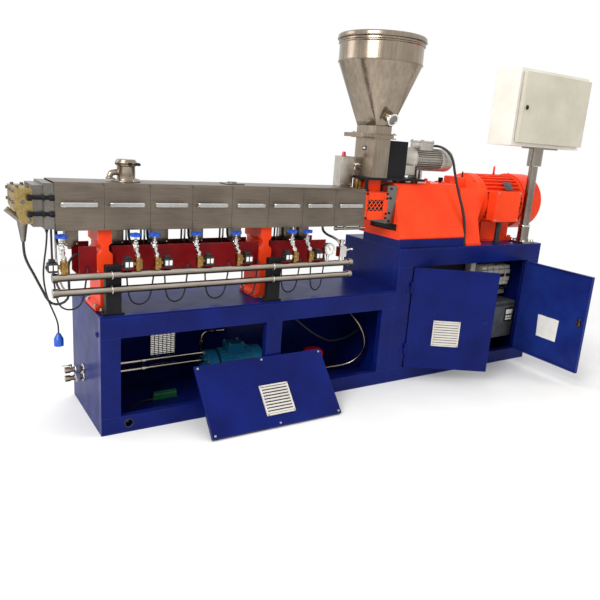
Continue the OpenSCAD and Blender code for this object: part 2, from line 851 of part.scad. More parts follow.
module barrel() {
    color(steel) placed() {
        block(barrel_x0, barrel_x1, axis_y - barrel_d / 2, axis_y + barrel_d / 2, barrel_bottom,
            axis_z + barrel_h / 2);
        for (i = [0:zones]) {
            x = barrel_x0 + i * zone_l;
            block(max(barrel_x0, x - flange_t / 2), min(barrel_x1, x + flange_t / 2),
                cover_y + skin_t, cover_y + cover_d - skin_t, barrel_bottom,
                    cover_top - cover_bevel - skin_t);
        }
    }
}

// A cover's outline, or its inside when it is set in by the sheet
module cover_section(inset) {
    bevel = cover_bevel - (2 - sqrt(2)) * inset;
    top = cover_h - inset;
    left = inset;
    right = cover_d - inset;
    foot = -inset;
    polygon([[left, foot], [left, top - bevel], [left + bevel, top], [right - bevel, top],
        [right, top - bevel], [right, foot]]);
}

module barrel_covers() {
    color(stainless) placed() for (i = [0:zones - 1]) {
        x = barrel_x0 + i * zone_l + cover_gap / 2;
        translate([x, cover_y, cover_z]) rotate([90, 0,
            90]) linear_extrude(zone_l - cover_gap) difference() {
            cover_section(0);
            cover_section(skin_t);
        }
    }
}

module cover_handles() {
    bar_h = 20;
    bar_t = 10;
    reach = 32;
    color(steel) placed() for (i = [0:zones - 1]) {
        x = barrel_x0 + (i + 0.5) * zone_l - handle_l / 2;
        z = axis_z + 10;
        block(x, x + handle_l, cover_y - reach, cover_y - reach + bar_t, z - bar_h / 2, z + bar_h / 2);
        for (e = [x, x + handle_l - bar_t]) {
            block(e, e + bar_t, cover_y - reach, cover_y, z - bar_h / 2, z + bar_h / 2);
        }
    }
}

module vent_port() {
    x = barrel_x0 + 1.63 * zone_l;
    r = vent_d / 2;
    color(stainless) placed() {
        translate([x, axis_y, cover_top]) rotate_extrude() polygon([[0, 0], [r + 26, 0], [r + 26, 6],
            [r, 6],
            [r, vent_h - 22], [r + 8, vent_h - 18], [r + 8, vent_h - 2], [r + 4, vent_h + 6], [0,
                vent_h + 10]]);
        rod_x(x - r - 34, axis_y, cover_top + vent_h / 2 - 6, 13, 50);
        rod_z(x - r - 30, axis_y, cover_top + 12, 15, 40);
    }
}

module die_flanges() {
    color(steel) placed() {
        block(barrel_x0 - die_flange_t / 2, barrel_x0, axis_y - 112, axis_y + 112, axis_z - 100,
            axis_z + 100);
        block(barrel_x0 - die_flange_t, barrel_x0 - die_flange_t / 2, axis_y - 100, axis_y + 100,
            axis_z - 90, axis_z + 90);
    }
}

// The strand outlet points up and out of the die's sloping face
module die_rod(r) {
    translate([barrel_x0 - die_flange_t - die_l + 28, axis_y - 40, axis_z - 68]) rotate([0, -48, 0])
        cylinder(r = r, h = 75);
}

module die_block() {
    x1 = barrel_x0 - die_flange_t;
    color(brass) placed() difference() {
        translate([0, axis_y + 105, 0]) rotate([90, 0, 0]) linear_extrude(210)
            polygon([[x1 - die_l, axis_z + 76], [x1 - die_l, axis_z - 10], [x1 - die_l + 25, axis_z - 77],
                [x1, axis_z - 77], [x1, axis_z + 76]]);
        die_rod(13.2);
    }
}

module die_nozzle() {
    color(steel) placed() {
        die_rod(13);
        translate([barrel_x0 - 114.5, axis_y, axis_z - 169]) cylinder(r1 = 10, r2 = 24, h = 92);
    }
}

// Water circuit

trough_y = 122;
trough_top = 908;
trough_x0 = barrel_x0 + 106;
trough_x1 = barrel_x0 + 1478;

module barrel_stands() {
    back = 2 * axis_y - stand_y;
    w = stand_w / 2;
    neck = w - 18;
    color(orange) placed() for (x = stand_xs) {
        translate([x + w, back, 0]) rotate([90, 0, 0]) linear_extrude(back - stand_y)
            polygon([[-w - 14, deck_z], [w + 14, deck_z], [w + 14, deck_z + 18], [w - 10, deck_z + 30],
                [w - 10, deck_z + 180], [w, deck_z + 200], [w, deck_z + 270], [neck, deck_z + 290],
                [neck, deck_z + 312], [w - 4, deck_z + 326], [w - 4, barrel_bottom], [4 - w, barrel_bottom],
                [4 - w, deck_z + 326], [-neck, deck_z + 312], [-neck, deck_z + 290], [-w, deck_z + 270],
                [-w, deck_z + 200], [10 - w, deck_z + 180], [10 - w, deck_z + 30], [-w - 14, deck_z + 18]]);
    }
}

module hose_trough() {
    z0 = trough_top - trough_h;
    wall = 4;
    spans = [[trough_x0, stand_xs[0]], [stand_xs[0] + stand_w, stand_xs[1]], [stand_xs[1] + stand_w,
        trough_x1]];
    color(orange) placed() for (e = spans) difference() {
        block(e[0], e[1], trough_y, trough_y + trough_d, z0, trough_top);
        block(e[0] - 1, e[1] + 1, trough_y + wall, trough_y + trough_d - wall, z0 + wall, trough_top + 1);
    }
}

module water_pipes() {
    color(steel) placed() for (z = [pipe_z, low_pipe_z]) {
        rod_x(pipe_x0, pipe_y, z, pipe_d / 2, pipe_l);
        rod_x(pipe_x0 - 12, pipe_y, z, pipe_d / 2 + 4, 24);
        rod_x(pipe_x0 + pipe_l - 12, pipe_y, z, pipe_d / 2 + 4, 24);
    }
}

module pipe_posts() {
    y0 = pipe_y + pipe_d / 2;
    color(dark) placed() for (x = post_xs) {
        block(x, x + post_w, y0, y0 + 36, deck_z, pipe_z + pipe_d / 2 + 24);
        block(x - 14, x + post_w + 14, y0, y0 + 70, deck_z, deck_z + 10);
    }
}

// A stub that stands on the upper pipe
module pipe_stub(x, r, h) {
    difference() {
        rod_z(x, pipe_y, pipe_z, r, pipe_d / 2 + h);
        rod_x(x - 2 * r, pipe_y, pipe_z, pipe_d / 2 + 0.1, 4 * r);
    }
}

module water_valves() {
    w = valve_w / 2;
    color(brass) placed() for (v = valves) {
        x = v[0];
        pipe_stub(x, 9, 10);
        block(x - w, x + w, pipe_y - w, pipe_y + w, valve_z, valve_z + valve_h);
        // elbow up and back to the needle valve
        translate([x, pipe_y, valve_z + valve_h - 8]) rotate([-45, 0, 0]) cylinder(r = 8, h = 60);
        rod_z(x, needle_y, needle_z, 12, needle_h);
        rod_z(x, needle_y, needle_z + needle_h, 5, 24);
        // riser over the trough's wall to the barrel
        rod_y(x, needle_y, riser_z, riser_r, riser_y - needle_y);
        rod_z(x, riser_y, riser_z - riser_r, riser_r, barrel_bottom - riser_z + riser_r);
    }
}

module valve_handwheels() {
    r = wheel_d / 2;
    color([0.1, 0.25, 0.75]) placed() for (v = valves) translate([v[0], needle_y, wheel_z]) difference() {
        union() {
            cylinder(r = r - 7, h = 10);
            for (k = [0:4]) rotate(72 * k) translate([r - 9, 0, 0]) cylinder(r = 9, h = 14);
            translate([0, 0, 8]) cylinder(r = 12, h = 8);
        }
        translate([0, 0, -1]) cylinder(r = 5.1, h = 9);
    }
}

module solenoid_coils() {
    color(dark) placed() for (v = valves) {
        x0 = v[0] + v[1] * valve_w / 2;
        lo = min(x0, x0 + v[1] * 12);
        rod_x(lo, pipe_y, valve_z + 24, 10, 12);
        c0 = min(x0 + v[1] * 12, x0 + v[1] * 56);
        block(c0, c0 + 44, pipe_y - 20, pipe_y + 22, valve_z + 4, valve_z + 44);
        block(c0 + 10, c0 + 34, pipe_y - 4, pipe_y + 22, valve_z + 44, valve_z + 58);
    }
}

module pressure_gauge() {
    x = gauge_x;
    z = pipe_z + 84;
    block_x = x + 92;
    color(steel) placed() {
        pipe_stub(x, 7, 46);
        rod_y(x, pipe_y - 14, z, gauge_r, 28);
        rod_y(x, pipe_y - 18, z, gauge_r + 3, 8);
        pipe_stub(block_x, 12, 26);
        block(block_x - 22, block_x + 22, pipe_y - 20, pipe_y + 20, pipe_z + pipe_d / 2 + 20,
            pipe_z + pipe_d / 2 + 76);
        rod_z(block_x, pipe_y, pipe_z + pipe_d / 2 + 76, 8, 16);
    }
}

drain_r = 13;
drain_pitch = 45;
drain_y = 326;
drain_zs = [192, 192 + drain_pitch];
drain_out = 95;
drain_l = 760;
module drain_pipes() {
    color(steel) placed() for (z = drain_zs) {
        rod_x(-drain_out, drain_y, z, drain_r, drain_l);
        rod_x(-drain_out, drain_y, z, drain_r + 4, 26);
        rod_x(-52, drain_y, z, drain_r + 5, 34);
        rod_x(-8, drain_y, z, drain_r + 7, 8);
        rod_x(300, drain_y, z, drain_r + 8, 20);
    }
}

pump_x = drain_l - drain_out;
pump_y = 312;
pump_z = 168;
pump_r = 84;
pump_l = 342;
module cooling_pump() {
    motor_x0 = pump_x + 80;
    fan_x = pump_x + pump_l - 62;
    color([0.1, 0.4, 0.5]) placed() {
        rod_x(pump_x, pump_y, pump_z, pump_r, 60);
        rod_x(pump_x + 60, pump_y, pump_z, pump_r - 28, 30);
        rod_x(motor_x0, pump_y, pump_z, pump_r - 6, fan_x - motor_x0);
        rod_x(fan_x, pump_y, pump_z, pump_r - 2, 62);
        block(motor_x0 + 20, fan_x - 10, pump_y - 80, pump_y + 80, sheet_t, 30);
        block(motor_x0 + 40, fan_x - 30, pump_y - 50, pump_y + 50, 20, pump_z);
        block(motor_x0 + 50, fan_x - 50, pump_y - 45, pump_y + 45, pump_z + pump_r - 24,
            pump_z + pump_r + 34);
    }
}

// Loose cover of a front bay

module at_lean() {
    translate([panel_x, -panel_h * sin(panel_lean) - panel_t * cos(panel_lean) - hinge_rest,
        panel_t * sin(panel_lean)]) rotate([-panel_lean, 0, 0]) children();
}

module cover_panel() {
    color(blue) placed() at_lean() difference() {
        cube([panel_w, panel_t, panel_h]);
        translate([skin_t, skin_t, skin_t]) cube([panel_w - 2 * skin_t, panel_t, panel_h - 2 * skin_t]);
    }
}

module panel_louvre() {
    color("white") placed() at_lean() translate([321, 0, 60]) louvre(louvre_w, louvre_h);
}

// Cords

module feed_lead() {
    color(dark) placed() cord(feed_lead_pts, 8);
}

module motor_conduit() {
    color(dark) placed() cord(motor_conduit_pts, 20, [1, 0.2, 0.1]);
}

module die_cable() {
    color(dark) placed() cord(die_cable_pts, 6);
}

module plug_lead() {
    color(dark) placed() cord(plug_lead_pts, 4);
}

module lead_plug() {
    tip = plug_lead_pts[len(plug_lead_pts) - 1];
    color([0.1, 0.3, 0.8]) placed() translate([tip[0], tip[1], tip[2] - 60]) {
        cylinder(r = 22, h = 34);
        translate([0, 0, 34]) cylinder(r1 = 22, r2 = 9, h = 26);
    }
}

floor_pan();
deck();
left_end_wall();
base_back_wall();
front_rails();
front_stiles();
cabinet_side_walls();
cabinet_back_wall();
cabinet_top();
cabinet_rails();
cabinet_stiles();
left_door();
left_door_louvre();
right_door();
mounting_plate();
inverter_drive();
gearbox_plinth();
gearbox_housing();
gearbox_flange();
coupling_guard();
screw_couplings();
bell_housing();
motor_body();
motor_fan_cowl();
motor_terminal_box();
control_post();
control_box();
control_box_door();
feeder_plate();
feeder_body();
feed_hopper();
hopper_lid();
feeder_gear_cover();
feeder_motor();
feed_throat();
junction_box();
barrel();
barrel_covers();
cover_handles();
vent_port();
die_flanges();
die_block();
die_nozzle();
barrel_stands();
hose_trough();
water_pipes();
pipe_posts();
water_valves();
valve_handwheels();
solenoid_coils();
pressure_gauge();
drain_pipes();
cooling_pump();
cover_panel();
panel_louvre();
feed_lead();
motor_conduit();
die_cable();
plug_lead();
lead_plug();
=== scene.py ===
# %% [markdown]
# # A twin-screw extruder, piece by piece
# The machine is a long covered barrel on a blue sheet-metal base, driven by an orange gearbox and motor. The solid
# model gives every main shape and fixes the frame. This lesson adds what makes it look real: finishes, fasteners,
# fittings, leads, and then the camera and the light.

# %% Load the solid model as a fixed frame
import math

import bmesh
import bpy
from mathutils import Matrix, Vector


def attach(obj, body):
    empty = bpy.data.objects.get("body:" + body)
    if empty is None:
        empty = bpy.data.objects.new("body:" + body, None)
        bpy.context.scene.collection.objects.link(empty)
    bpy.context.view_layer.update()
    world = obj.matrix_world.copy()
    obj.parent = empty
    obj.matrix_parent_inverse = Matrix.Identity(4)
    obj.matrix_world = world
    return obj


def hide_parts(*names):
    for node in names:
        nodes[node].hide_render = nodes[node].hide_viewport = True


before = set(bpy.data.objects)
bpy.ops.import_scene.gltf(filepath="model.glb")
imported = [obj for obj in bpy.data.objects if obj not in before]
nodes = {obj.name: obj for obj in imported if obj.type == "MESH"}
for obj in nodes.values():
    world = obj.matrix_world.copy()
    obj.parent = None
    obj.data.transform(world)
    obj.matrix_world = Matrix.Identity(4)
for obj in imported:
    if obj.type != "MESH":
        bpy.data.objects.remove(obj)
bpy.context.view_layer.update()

# %% [markdown]
# Lengths on a machine drawing are millimetres from one corner, and the scene is in metres from the middle of the
# base. One small function goes from the first to the second, so that every later number can be read on the drawing.

# %% Millimetres on the drawing to metres in the scene
BASE_L, BASE_D, MM = 3096, 560, 0.001
ALONG, LEFT, FRONT, UP = (1, 0, 0), (-1, 0, 0), (0, -1, 0), (0, 0, 1)


def at(x, y, z):
    return Vector(((x - BASE_L / 2) / 1000, (y - BASE_D / 2) / 1000, z / 1000))


def show(name, data):
    thing = bpy.data.objects.new(name, data)
    bpy.context.scene.collection.objects.link(thing)
    return thing


print("the base's front left foot is at", at(0, 0, 0))

# %% [markdown]
# A photograph's camera can be found from straight edges that are known to be level or upright. Here it stands to
# the left of the die, a little above the barrel, and looks down along the machine. Its axes were solved that way,
# so the matrix is written out instead of being aimed by eye.

# %% Camera
VIEW_RIGHT = Vector((0.8454, -0.5297, 0.0687))
VIEW_DOWN = Vector((-0.0766, -0.2475, -0.9659))
VIEW_FORWARD = Vector((0.5286, 0.8113, -0.2498))
VIEW_FROM = (-2.2626, -3.0409, 1.4473)
lens = bpy.data.cameras.new("workshop_camera")
lens.sensor_width, lens.lens = 36, 37.056
camera = show("workshop_camera", lens)
camera.matrix_world = Matrix((
    (*VIEW_RIGHT, 0), (*-VIEW_DOWN, 0), (*-VIEW_FORWARD, 0), (*VIEW_FROM, 1))).transposed()
bpy.context.scene.camera = camera
print("camera at", tuple(camera.location))

# %% [markdown]
# Finishes come next. Colours are picked in sRGB, as on a paint card, and the shader wants them linear, so one
# function converts them. Another adds a node, sets it and links it in a single line. The others name the few nodes
# that every finish is made of, which keeps each finish readable.

# %% Helpers for finishes


def linear(card):
    parts = [int(card[i:i + 2], 16) / 255 for i in (1, 3, 5)]
    return tuple(c / 12.92 if c <= 0.04045 else ((c + 0.055) / 1.055) ** 2.4 for c in parts) + (1.0,)


def add(tree, kind, inputs=None, **settings):
    made = tree.nodes.new(kind)
    for key, value in settings.items():
        setattr(made, key, value)
    for key, value in (inputs or {}).items():
        socket = made.inputs[key]
        if isinstance(value, bpy.types.NodeSocket):
            tree.links.new(value, socket)
        else:
            socket.default_value = value
    return made


def ramp(tree, factor, *stops):
    made = add(tree, "ShaderNodeValToRGB", {"Fac": factor})
    for element, (place, colour) in zip(made.color_ramp.elements, stops):
        element.position = place
        element.color = linear(colour)
    return made.outputs["Color"]


def noise(tree, place, size, detail, **more):
    inputs = {"Vector": place, "Scale": 1 / size, "Detail": detail, **more}
    return add(tree, "ShaderNodeTexNoise", inputs).outputs["Fac"]


def maths(tree, operation, one, two):
    return add(tree, "ShaderNodeMath", {0: one, 1: two}, operation=operation).outputs["Value"]


def remap(tree, value, source, target, **settings):
    limits = zip(("From Min", "From Max", "To Min", "To Max"), (*source, *target))
    return add(tree, "ShaderNodeMapRange", {"Value": value, **dict(limits)}, **settings).outputs["Result"]


def mix(tree, factor, one, two):
    return add(tree, "ShaderNodeMix", {"Factor": factor, 6: one, 7: two}, data_type="RGBA").outputs[2]


def height_of(tree, normal):
    return add(tree, "ShaderNodeSeparateXYZ", {"Vector": normal}).outputs["Z"]


def face_normal(tree):
    return add(tree, "ShaderNodeNewGeometry").outputs["Normal"]


def round_edges(tree, radius):
    return add(tree, "ShaderNodeBevel", {"Radius": radius}, samples=4).outputs["Normal"]


def ripple(tree, strength, distance, height, **normal):
    inputs = {"Strength": strength, "Distance": distance, "Height": height, **normal}
    return add(tree, "ShaderNodeBump", inputs).outputs["Normal"]


def start(name, **shader):
    material = bpy.data.materials.new(name)
    material.use_nodes = True
    tree = material.node_tree
    tree.nodes.clear()
    surface = add(tree, "ShaderNodeBsdfPrincipled", shader)
    add(tree, "ShaderNodeOutputMaterial", {"Surface": surface.outputs["BSDF"]})
    place = add(tree, "ShaderNodeTexCoord").outputs["Object"]
    return material, tree, surface, place


def coat_with(tree, surface, **looks):
    for socket, value in looks.items():
        tree.links.new(value, surface.inputs[socket.replace("_", " ")])


print("blue of the base as linear light:", [round(c, 3) for c in linear("#1c2a7c")[:3]])

# %% [markdown]
# The base, the doors and the drive are sprayed with gloss enamel. Sprayed enamel is never flat: it has a slight
# orange-peel ripple, cloudy patches where hands and dust have been, and thin, paler edges where it is rubbed. The
# ripple of a real coat is about 3 mm long and wouldn't show from this distance, so it is drawn 14 mm long. The edge
# comes from a Bevel node, which rounds the normal over 3 mm: where it turns away from the face, the paint is thin.

# %% Gloss enamel


def enamel(name, deep, full, worn, dust, gloss, shine=0.10):
    material, tree, surface, place = start(name, **{"Coat Weight": 0.3 * shine, "Coat Roughness": 0.12,
                                                    "Specular IOR Level": shine})
    cloud = noise(tree, place, 0.22, 5.0, Roughness=0.6)
    flat, rounded = face_normal(tree), round_edges(tree, 0.003)
    turn = add(tree, "ShaderNodeVectorMath", {0: flat, 1: rounded}, operation="DOT_PRODUCT").outputs["Value"]
    thin = maths(tree, "MULTIPLY", remap(tree, turn, (0.97, 0.80), (0, 1)), noise(tree, place, 0.03, 3.0))
    edged = mix(tree, thin, ramp(tree, cloud, (0.35, deep), (0.62, full)), linear(worn))
    film = maths(tree, "MULTIPLY", remap(tree, height_of(tree, flat), (0.6, 1.0), (0, 0.05)), cloud)
    coat_with(tree, surface, Base_Color=mix(tree, film, edged, linear(dust)),
              Roughness=remap(tree, noise(tree, place, 0.09, 4.0), (0, 1), (gloss - 0.07, gloss + 0.12)),
              Normal=ripple(tree, 0.12, 0.0006, noise(tree, place, 0.014, 1.0), Normal=rounded))
    return material


blue_enamel = enamel("blue_gloss_enamel", "#081352", "#0b1b64", "#46549f", "#4a4668", 0.28)
deck_enamel = enamel("blue_walked_on_enamel", "#081352", "#0b1b64", "#46549f", "#4a4668", 0.28, 0.045)
# A lighter copy of the blue is painted light on the open right door, whose face the lamps leave darker.
blue_painted_lit_enamel = enamel("blue_enamel_painted_lit", "#172366", "#1c307c", "#4d5ba5", "#4a4668", 0.32)
orange_enamel = enamel("orange_red_gloss_enamel", "#e83c19", "#f5481f", "#ff8a60", "#d06a4c", 0.30)
# The trough's red is its paint darkened as painted shade from the barrel above it.
red_painted_shade_enamel = enamel("red_enamel_painted_shade", "#6e0d10", "#84151a", "#b86058", "#8a5a50", 0.34)
teal_enamel = enamel("teal_gloss_enamel", "#10567c", "#17688f", "#7fb6c8", "#8aa0a8", 0.30)
black_enamel = enamel("black_satin_enamel", "#141416", "#1d1d20", "#55555a", "#6a6866", 0.42)
cream_enamel = enamel("cream_powder_coat", "#bdb7a7", "#c9c3b3", "#dedacd", "#a8a294", 0.40)
# A paler copy of the cream is painted light on the control box's body; its door keeps the plain cream.
cream_painted_lit_enamel = enamel("cream_powder_coat_painted_lit", "#dad6ca", "#e7e4da", "#f2f0e8", "#c8c3b6", 0.40)
white_enamel = enamel("white_moulded_vent", "#cec9bf", "#dbd6cc", "#eeeae2", "#b8b6b0", 0.42)
print("ten enamels")

# %% [markdown]
# The barrel covers and the hopper are brushed stainless sheet. Brushing leaves fine lines one way, so the pattern
# is a noise stretched a hundred times along them. Real lines are a tenth of a millimetre apart; here they are a few
# millimetres, the finest that shows. Fingers and welding heat leave warm, cloudy patches, and the underside of the
# water pipes is painted dark brown as painted shade.

# %% Metals


def metal(name, low, high, rough, stretch, bump, cloud_size=0.16, shade_underside=None):
    material, tree, surface, place = start(name, Metallic=1.0)
    lines = add(tree, "ShaderNodeMapping", {"Vector": place, "Scale": stretch}).outputs["Vector"]
    grain = noise(tree, lines, 1.0, 3.0)
    half = maths(tree, "MULTIPLY", maths(tree, "ADD", grain, noise(tree, place, cloud_size, 4.0)), 0.5)
    colour = ramp(tree, half, (0.36, low), (0.64, high))
    # Faces that look down turn dark brown: painted shade on the underside of the pipes.
    if shade_underside:
        lit_share = remap(tree, height_of(tree, face_normal(tree)), (-0.45, 0.4), (0, 1), interpolation_type="SMOOTHSTEP")
        colour = mix(tree, lit_share, linear(shade_underside), colour)
    coat_with(tree, surface, Base_Color=colour, Roughness=remap(tree, half, (0.3, 0.7), (rough - 0.06, rough + 0.06)),
              Normal=ripple(tree, bump, 0.0004, grain, Normal=round_edges(tree, 0.002)))
    return material


cover_steel = metal("brushed_stainless_cover", "#6e645a", "#82776b", 0.36, (9, 260, 260), 0.25)
hopper_steel = metal("rolled_stainless_hopper", "#86796b", "#a39686", 0.24, (60, 60, 4), 0.04)
pipe_steel = metal("polished_stainless_pipe", "#a3998d", "#c4bbb0", 0.18, (12, 200, 200), 0.10, shade_underside="#40382f")
# The mounting plate's steel is near black: painted shade inside the cabinet.
plate_painted_shade_steel = metal("plate_steel_painted_shade", "#241f1d", "#332c29", 0.45, (60, 60, 60), 0.1)
bare_steel = metal("ground_tool_steel", "#6d6863", "#8a857f", 0.34, (180, 12, 180), 0.22)
chrome = metal("nickel_plated_fitting", "#c9c7c3", "#e2e0dc", 0.16, (120, 120, 120), 0.06)
die_bronze = metal("heat_tinted_die_steel", "#8f7a4c", "#b39c68", 0.42, (120, 20, 120), 0.25)
brass = metal("turned_brass", "#7d5d36", "#a3814c", 0.30, (140, 140, 30), 0.16)
cast_alloy = metal("cast_aluminium", "#aba59d", "#c8c2b9", 0.46, (240, 240, 240), 0.35, 0.05)
zinc = metal("zinc_plated_screw", "#a8a69e", "#c4c2ba", 0.30, (160, 160, 160), 0.1)
print("ten metals")

# %% [markdown]
# Cables are black PVC, knobs and caps are moulded plastic. Neither is metallic: their colour is in the bulk, and
# the moulded skin has a fine matt texture that breaks the highlight.

# %% Plastics


def plastic(name, low, high, rough, bump=0.15):
    material, tree, surface, place = start(name)
    patch = noise(tree, place, 0.07, 3.0)
    coat_with(tree, surface, Base_Color=ramp(tree, patch, (0.35, low), (0.65, high)),
              Roughness=remap(tree, patch, (0, 1), (rough - 0.08, rough + 0.1)),
              Normal=ripple(tree, bump, 0.0003, noise(tree, place, 0.006, 2.0)))
    return material


cable_pvc = plastic("black_pvc_cable", "#131314", "#1e1e20", 0.45)
coil_plastic = plastic("black_glass_filled_nylon", "#161618", "#242427", 0.42)
knob_blue = plastic("blue_moulded_nylon", "#0b3f9c", "#1552bb", 0.34)
cap_red = plastic("red_moulded_cap", "#b8121c", "#d01e26", 0.36)
blank_white = plastic("white_printed_plate", "#e6e4de", "#f2f0ea", 0.5, 0.03)
board_green = plastic("green_circuit_board", "#155a34", "#1f7044", 0.45)
grey_plastic = plastic("grey_moulded_housing", "#4a4d50", "#5a5d61", 0.48)
print("plastics")

# %% [markdown]
# Every solid piece keeps its shape and gets the finish of its real counterpart, through its own material slot.

# %% Finishes on the solid pieces
dress = {
    deck_enamel: ["deck", "left_end_wall"],
    blue_painted_lit_enamel: ["right_door"],
    blue_enamel: ["floor_pan", "base_back_wall", "front_rails", "front_stiles",
                  "cabinet_side_walls", "cabinet_back_wall", "cabinet_top", "cabinet_rails", "cabinet_stiles",
                  "left_door", "gearbox_plinth", "cover_panel"],
    orange_enamel: ["gearbox_housing", "coupling_guard", "bell_housing", "motor_body", "motor_fan_cowl",
                    "motor_terminal_box", "feed_throat", "barrel_stands"],
    red_painted_shade_enamel: ["hose_trough"],
    cover_steel: ["barrel_covers"],
    hopper_steel: ["feed_hopper", "hopper_lid", "feeder_body", "vent_port"],
    pipe_steel: ["water_pipes", "control_post", "drain_pipes"],
    bare_steel: ["gearbox_flange", "screw_couplings", "barrel", "die_flanges", "die_nozzle"],
    plate_painted_shade_steel: ["mounting_plate"],
    chrome: ["cover_handles", "pressure_gauge"],
    die_bronze: ["die_block"],
    brass: ["water_valves"],
    cast_alloy: ["feeder_motor", "junction_box"],
    cream_painted_lit_enamel: ["control_box"],
    cream_enamel: ["control_box_door"],
    white_enamel: ["left_door_louvre", "panel_louvre"],
    black_enamel: ["feeder_plate", "feeder_gear_cover", "pipe_posts"],
    coil_plastic: ["solenoid_coils", "motor_conduit"],
    grey_plastic: ["inverter_drive"],
    knob_blue: ["valve_handwheels", "lead_plug"],
    teal_enamel: ["cooling_pump"],
    cable_pvc: ["feed_lead", "die_cable", "plug_lead"],
}
for finish, names in dress.items():
    for name in names:
        shell = nodes[name].data
        shell.materials.clear()
        shell.materials.append(finish)
print(sum(len(names) for names in dress.values()), "of", len(nodes), "solid pieces finished")

# %% [markdown]
# The last step is the same for every new piece: it is shaded, painted and put on its body.


def settle(thing, body, replaced):
    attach(thing, body)
    if replaced:
        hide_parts(*replaced)
    return thing


def hand_over(name, shell, finish, slot=None, body="machine", place=None, replaced=(), angle=35):
    if place is not None:
        shell.transform(place)
    shell.polygons.foreach_set("use_smooth", [True] * len(shell.polygons))
    shell.set_sharp_from_angle(angle=math.radians(angle))
    shell.materials.clear()
    shell.materials.append(finish)
    print(name, len(shell.polygons), "faces")
    return settle(show(name, shell), body, replaced)


# %% [markdown]
# Most small hardware is a box, a turned shape or a bent bar. A little mesh builder collects such forms in
# millimetres on the drawing and turns them into one piece: bevelled boxes, profiles turned round any axis, and bars
# swept along a path. Each form is closed and has its normals recalculated before it joins the rest.

# %% What the mesh builder stands on


def spokes(axis, count):
    """A unit axis, and unit vectors all round it."""
    axis = Vector(axis).normalized()
    u = axis.cross(Vector(UP) if abs(axis.z) < 0.9 else Vector(ALONG)).normalized()
    v = axis.cross(u)
    return axis, [math.cos(a) * u + math.sin(a) * v for a in (2 * math.pi * k / count for k in range(count))]


def wrap(form, loops, closed=False):
    """Faces between loops of equally many corners. A closed row meets its own start, an open one gets two caps."""
    count = len(loops[0])
    for one, two in zip(loops, loops[1:] + (loops[:1] if closed else [])):
        for k in range(count):
            form.faces.new((one[k], one[(k + 1) % count], two[(k + 1) % count], two[k]))
    if not closed:
        form.faces.new(loops[0][::-1])
        form.faces.new(loops[-1])


print("four spokes round an upright axis:", [tuple(round(c) for c in out) for out in spokes(UP, 4)[1]])

# %% A small mesh builder


class Forge:
    def __init__(self):
        self.mesh = bmesh.new()

    def join(self, form):
        bmesh.ops.recalc_face_normals(form, faces=form.faces[:])
        sheet = bpy.data.meshes.new("form")
        form.to_mesh(sheet)
        form.free()
        self.mesh.from_mesh(sheet)
        bpy.data.meshes.remove(sheet)
        return self

    def box(self, low, high, bevel=1.0, turn=None):
        form = bmesh.new()
        a, b = at(*low), at(*high)
        bmesh.ops.create_cube(form, size=1.0, matrix=Matrix.Translation((a + b) / 2) @ Matrix.Diagonal((*(b - a), 1)))
        bmesh.ops.bevel(form, geom=form.edges[:], offset=bevel * MM, segments=2, profile=0.5, affect="EDGES")
        if turn:
            form.transform(turn)
        return self.join(form)

    def boxes(self, bevel, *pairs):
        for low, high in pairs:
            self.box(low, high, bevel)
        return self

    def lathe(self, foot, axis, profile, sides=24):
        form = bmesh.new()
        axis, outs = spokes(axis, sides)
        rings = []
        for radius, height in profile:
            centre = at(*foot) + axis * height * MM
            corners = [centre + radius * MM * out for out in outs] if radius > 0 else [centre]
            rings.append([form.verts.new(corner) for corner in corners])
        for one, two in zip(rings, rings[1:]):
            for k in range(sides):
                corners = []
                for vert in (one[k % len(one)], one[(k + 1) % len(one)], two[(k + 1) % len(two)], two[k % len(two)]):
                    if vert not in corners:
                        corners.append(vert)
                if len(corners) > 2:
                    form.faces.new(corners)
        return self.join(form)

    def loft(self, loops):
        """A closed skin over loops of equally many points; points that meet are joined."""
        form = bmesh.new()
        wrap(form, [[form.verts.new(at(*p)) for p in loop] for loop in loops])
        bmesh.ops.remove_doubles(form, verts=form.verts[:], dist=0.01 * MM)
        return self.join(form)

    def rod(self, foot, tip, radius, sides=24, chamfer=1.0):
        axis = Vector(tip) - Vector(foot)
        tall = axis.length
        c = min(chamfer, 0.4 * radius, 0.4 * tall)
        return self.lathe(foot, axis, [
            (0, 0), (radius - c, 0), (radius, c), (radius, tall - c), (radius - c, tall), (0, tall)], sides)

    def hexagon(self, foot, tip, across):
        return self.rod(foot, tip, across / math.sqrt(3), 6)

    def ring(self, centre, axis, radius, wire, sides=32, wire_sides=10):
        form = bmesh.new()
        axis, outs = spokes(axis, sides)
        turns = [(math.cos(a), math.sin(a)) for a in (2 * math.pi * j / wire_sides for j in range(wire_sides))]
        hubs = [at(*centre) + radius * MM * out for out in outs]
        wrap(form, [[form.verts.new(hub + wire * MM * (c * out + s * axis)) for c, s in turns]
                    for hub, out in zip(hubs, outs)], True)
        return self.join(form)

    def sweep(self, path, section, up=UP):
        """A bar: section is a list of (across, up) in mm, path a list of points on the drawing."""
        form = bmesh.new()
        line = [at(*p) for p in path]
        loops = []
        for i, here in enumerate(line):
            along = (line[min(i + 1, len(line) - 1)] - line[max(i - 1, 0)]).normalized()
            side = along.cross(Vector(up)).normalized()
            top = side.cross(along)
            loops.append([form.verts.new(here + MM * (a * side + b * top)) for a, b in section])
        wrap(form, loops)
        return self.join(form)

    def tube(self, path, radius, sides=12):
        angles = [2 * math.pi * k / sides for k in range(sides)]
        return self.sweep(path, [(radius * math.cos(a), radius * math.sin(a)) for a in angles], (0.3, 0.2, 1))

    def piece(self, name, finish, **how):
        shell = bpy.data.meshes.new(name)
        self.mesh.to_mesh(shell)
        self.mesh.free()
        return hand_over(name, shell, finish, **how)


print("builder ready")

# %% [markdown]
# Tubes and leads follow a smooth line through a few points that were read off the photograph. The line passes
# through every one of them, unlike a Bezier curve with free handles, so a cord stays where it was seen.

# %% Smooth lines


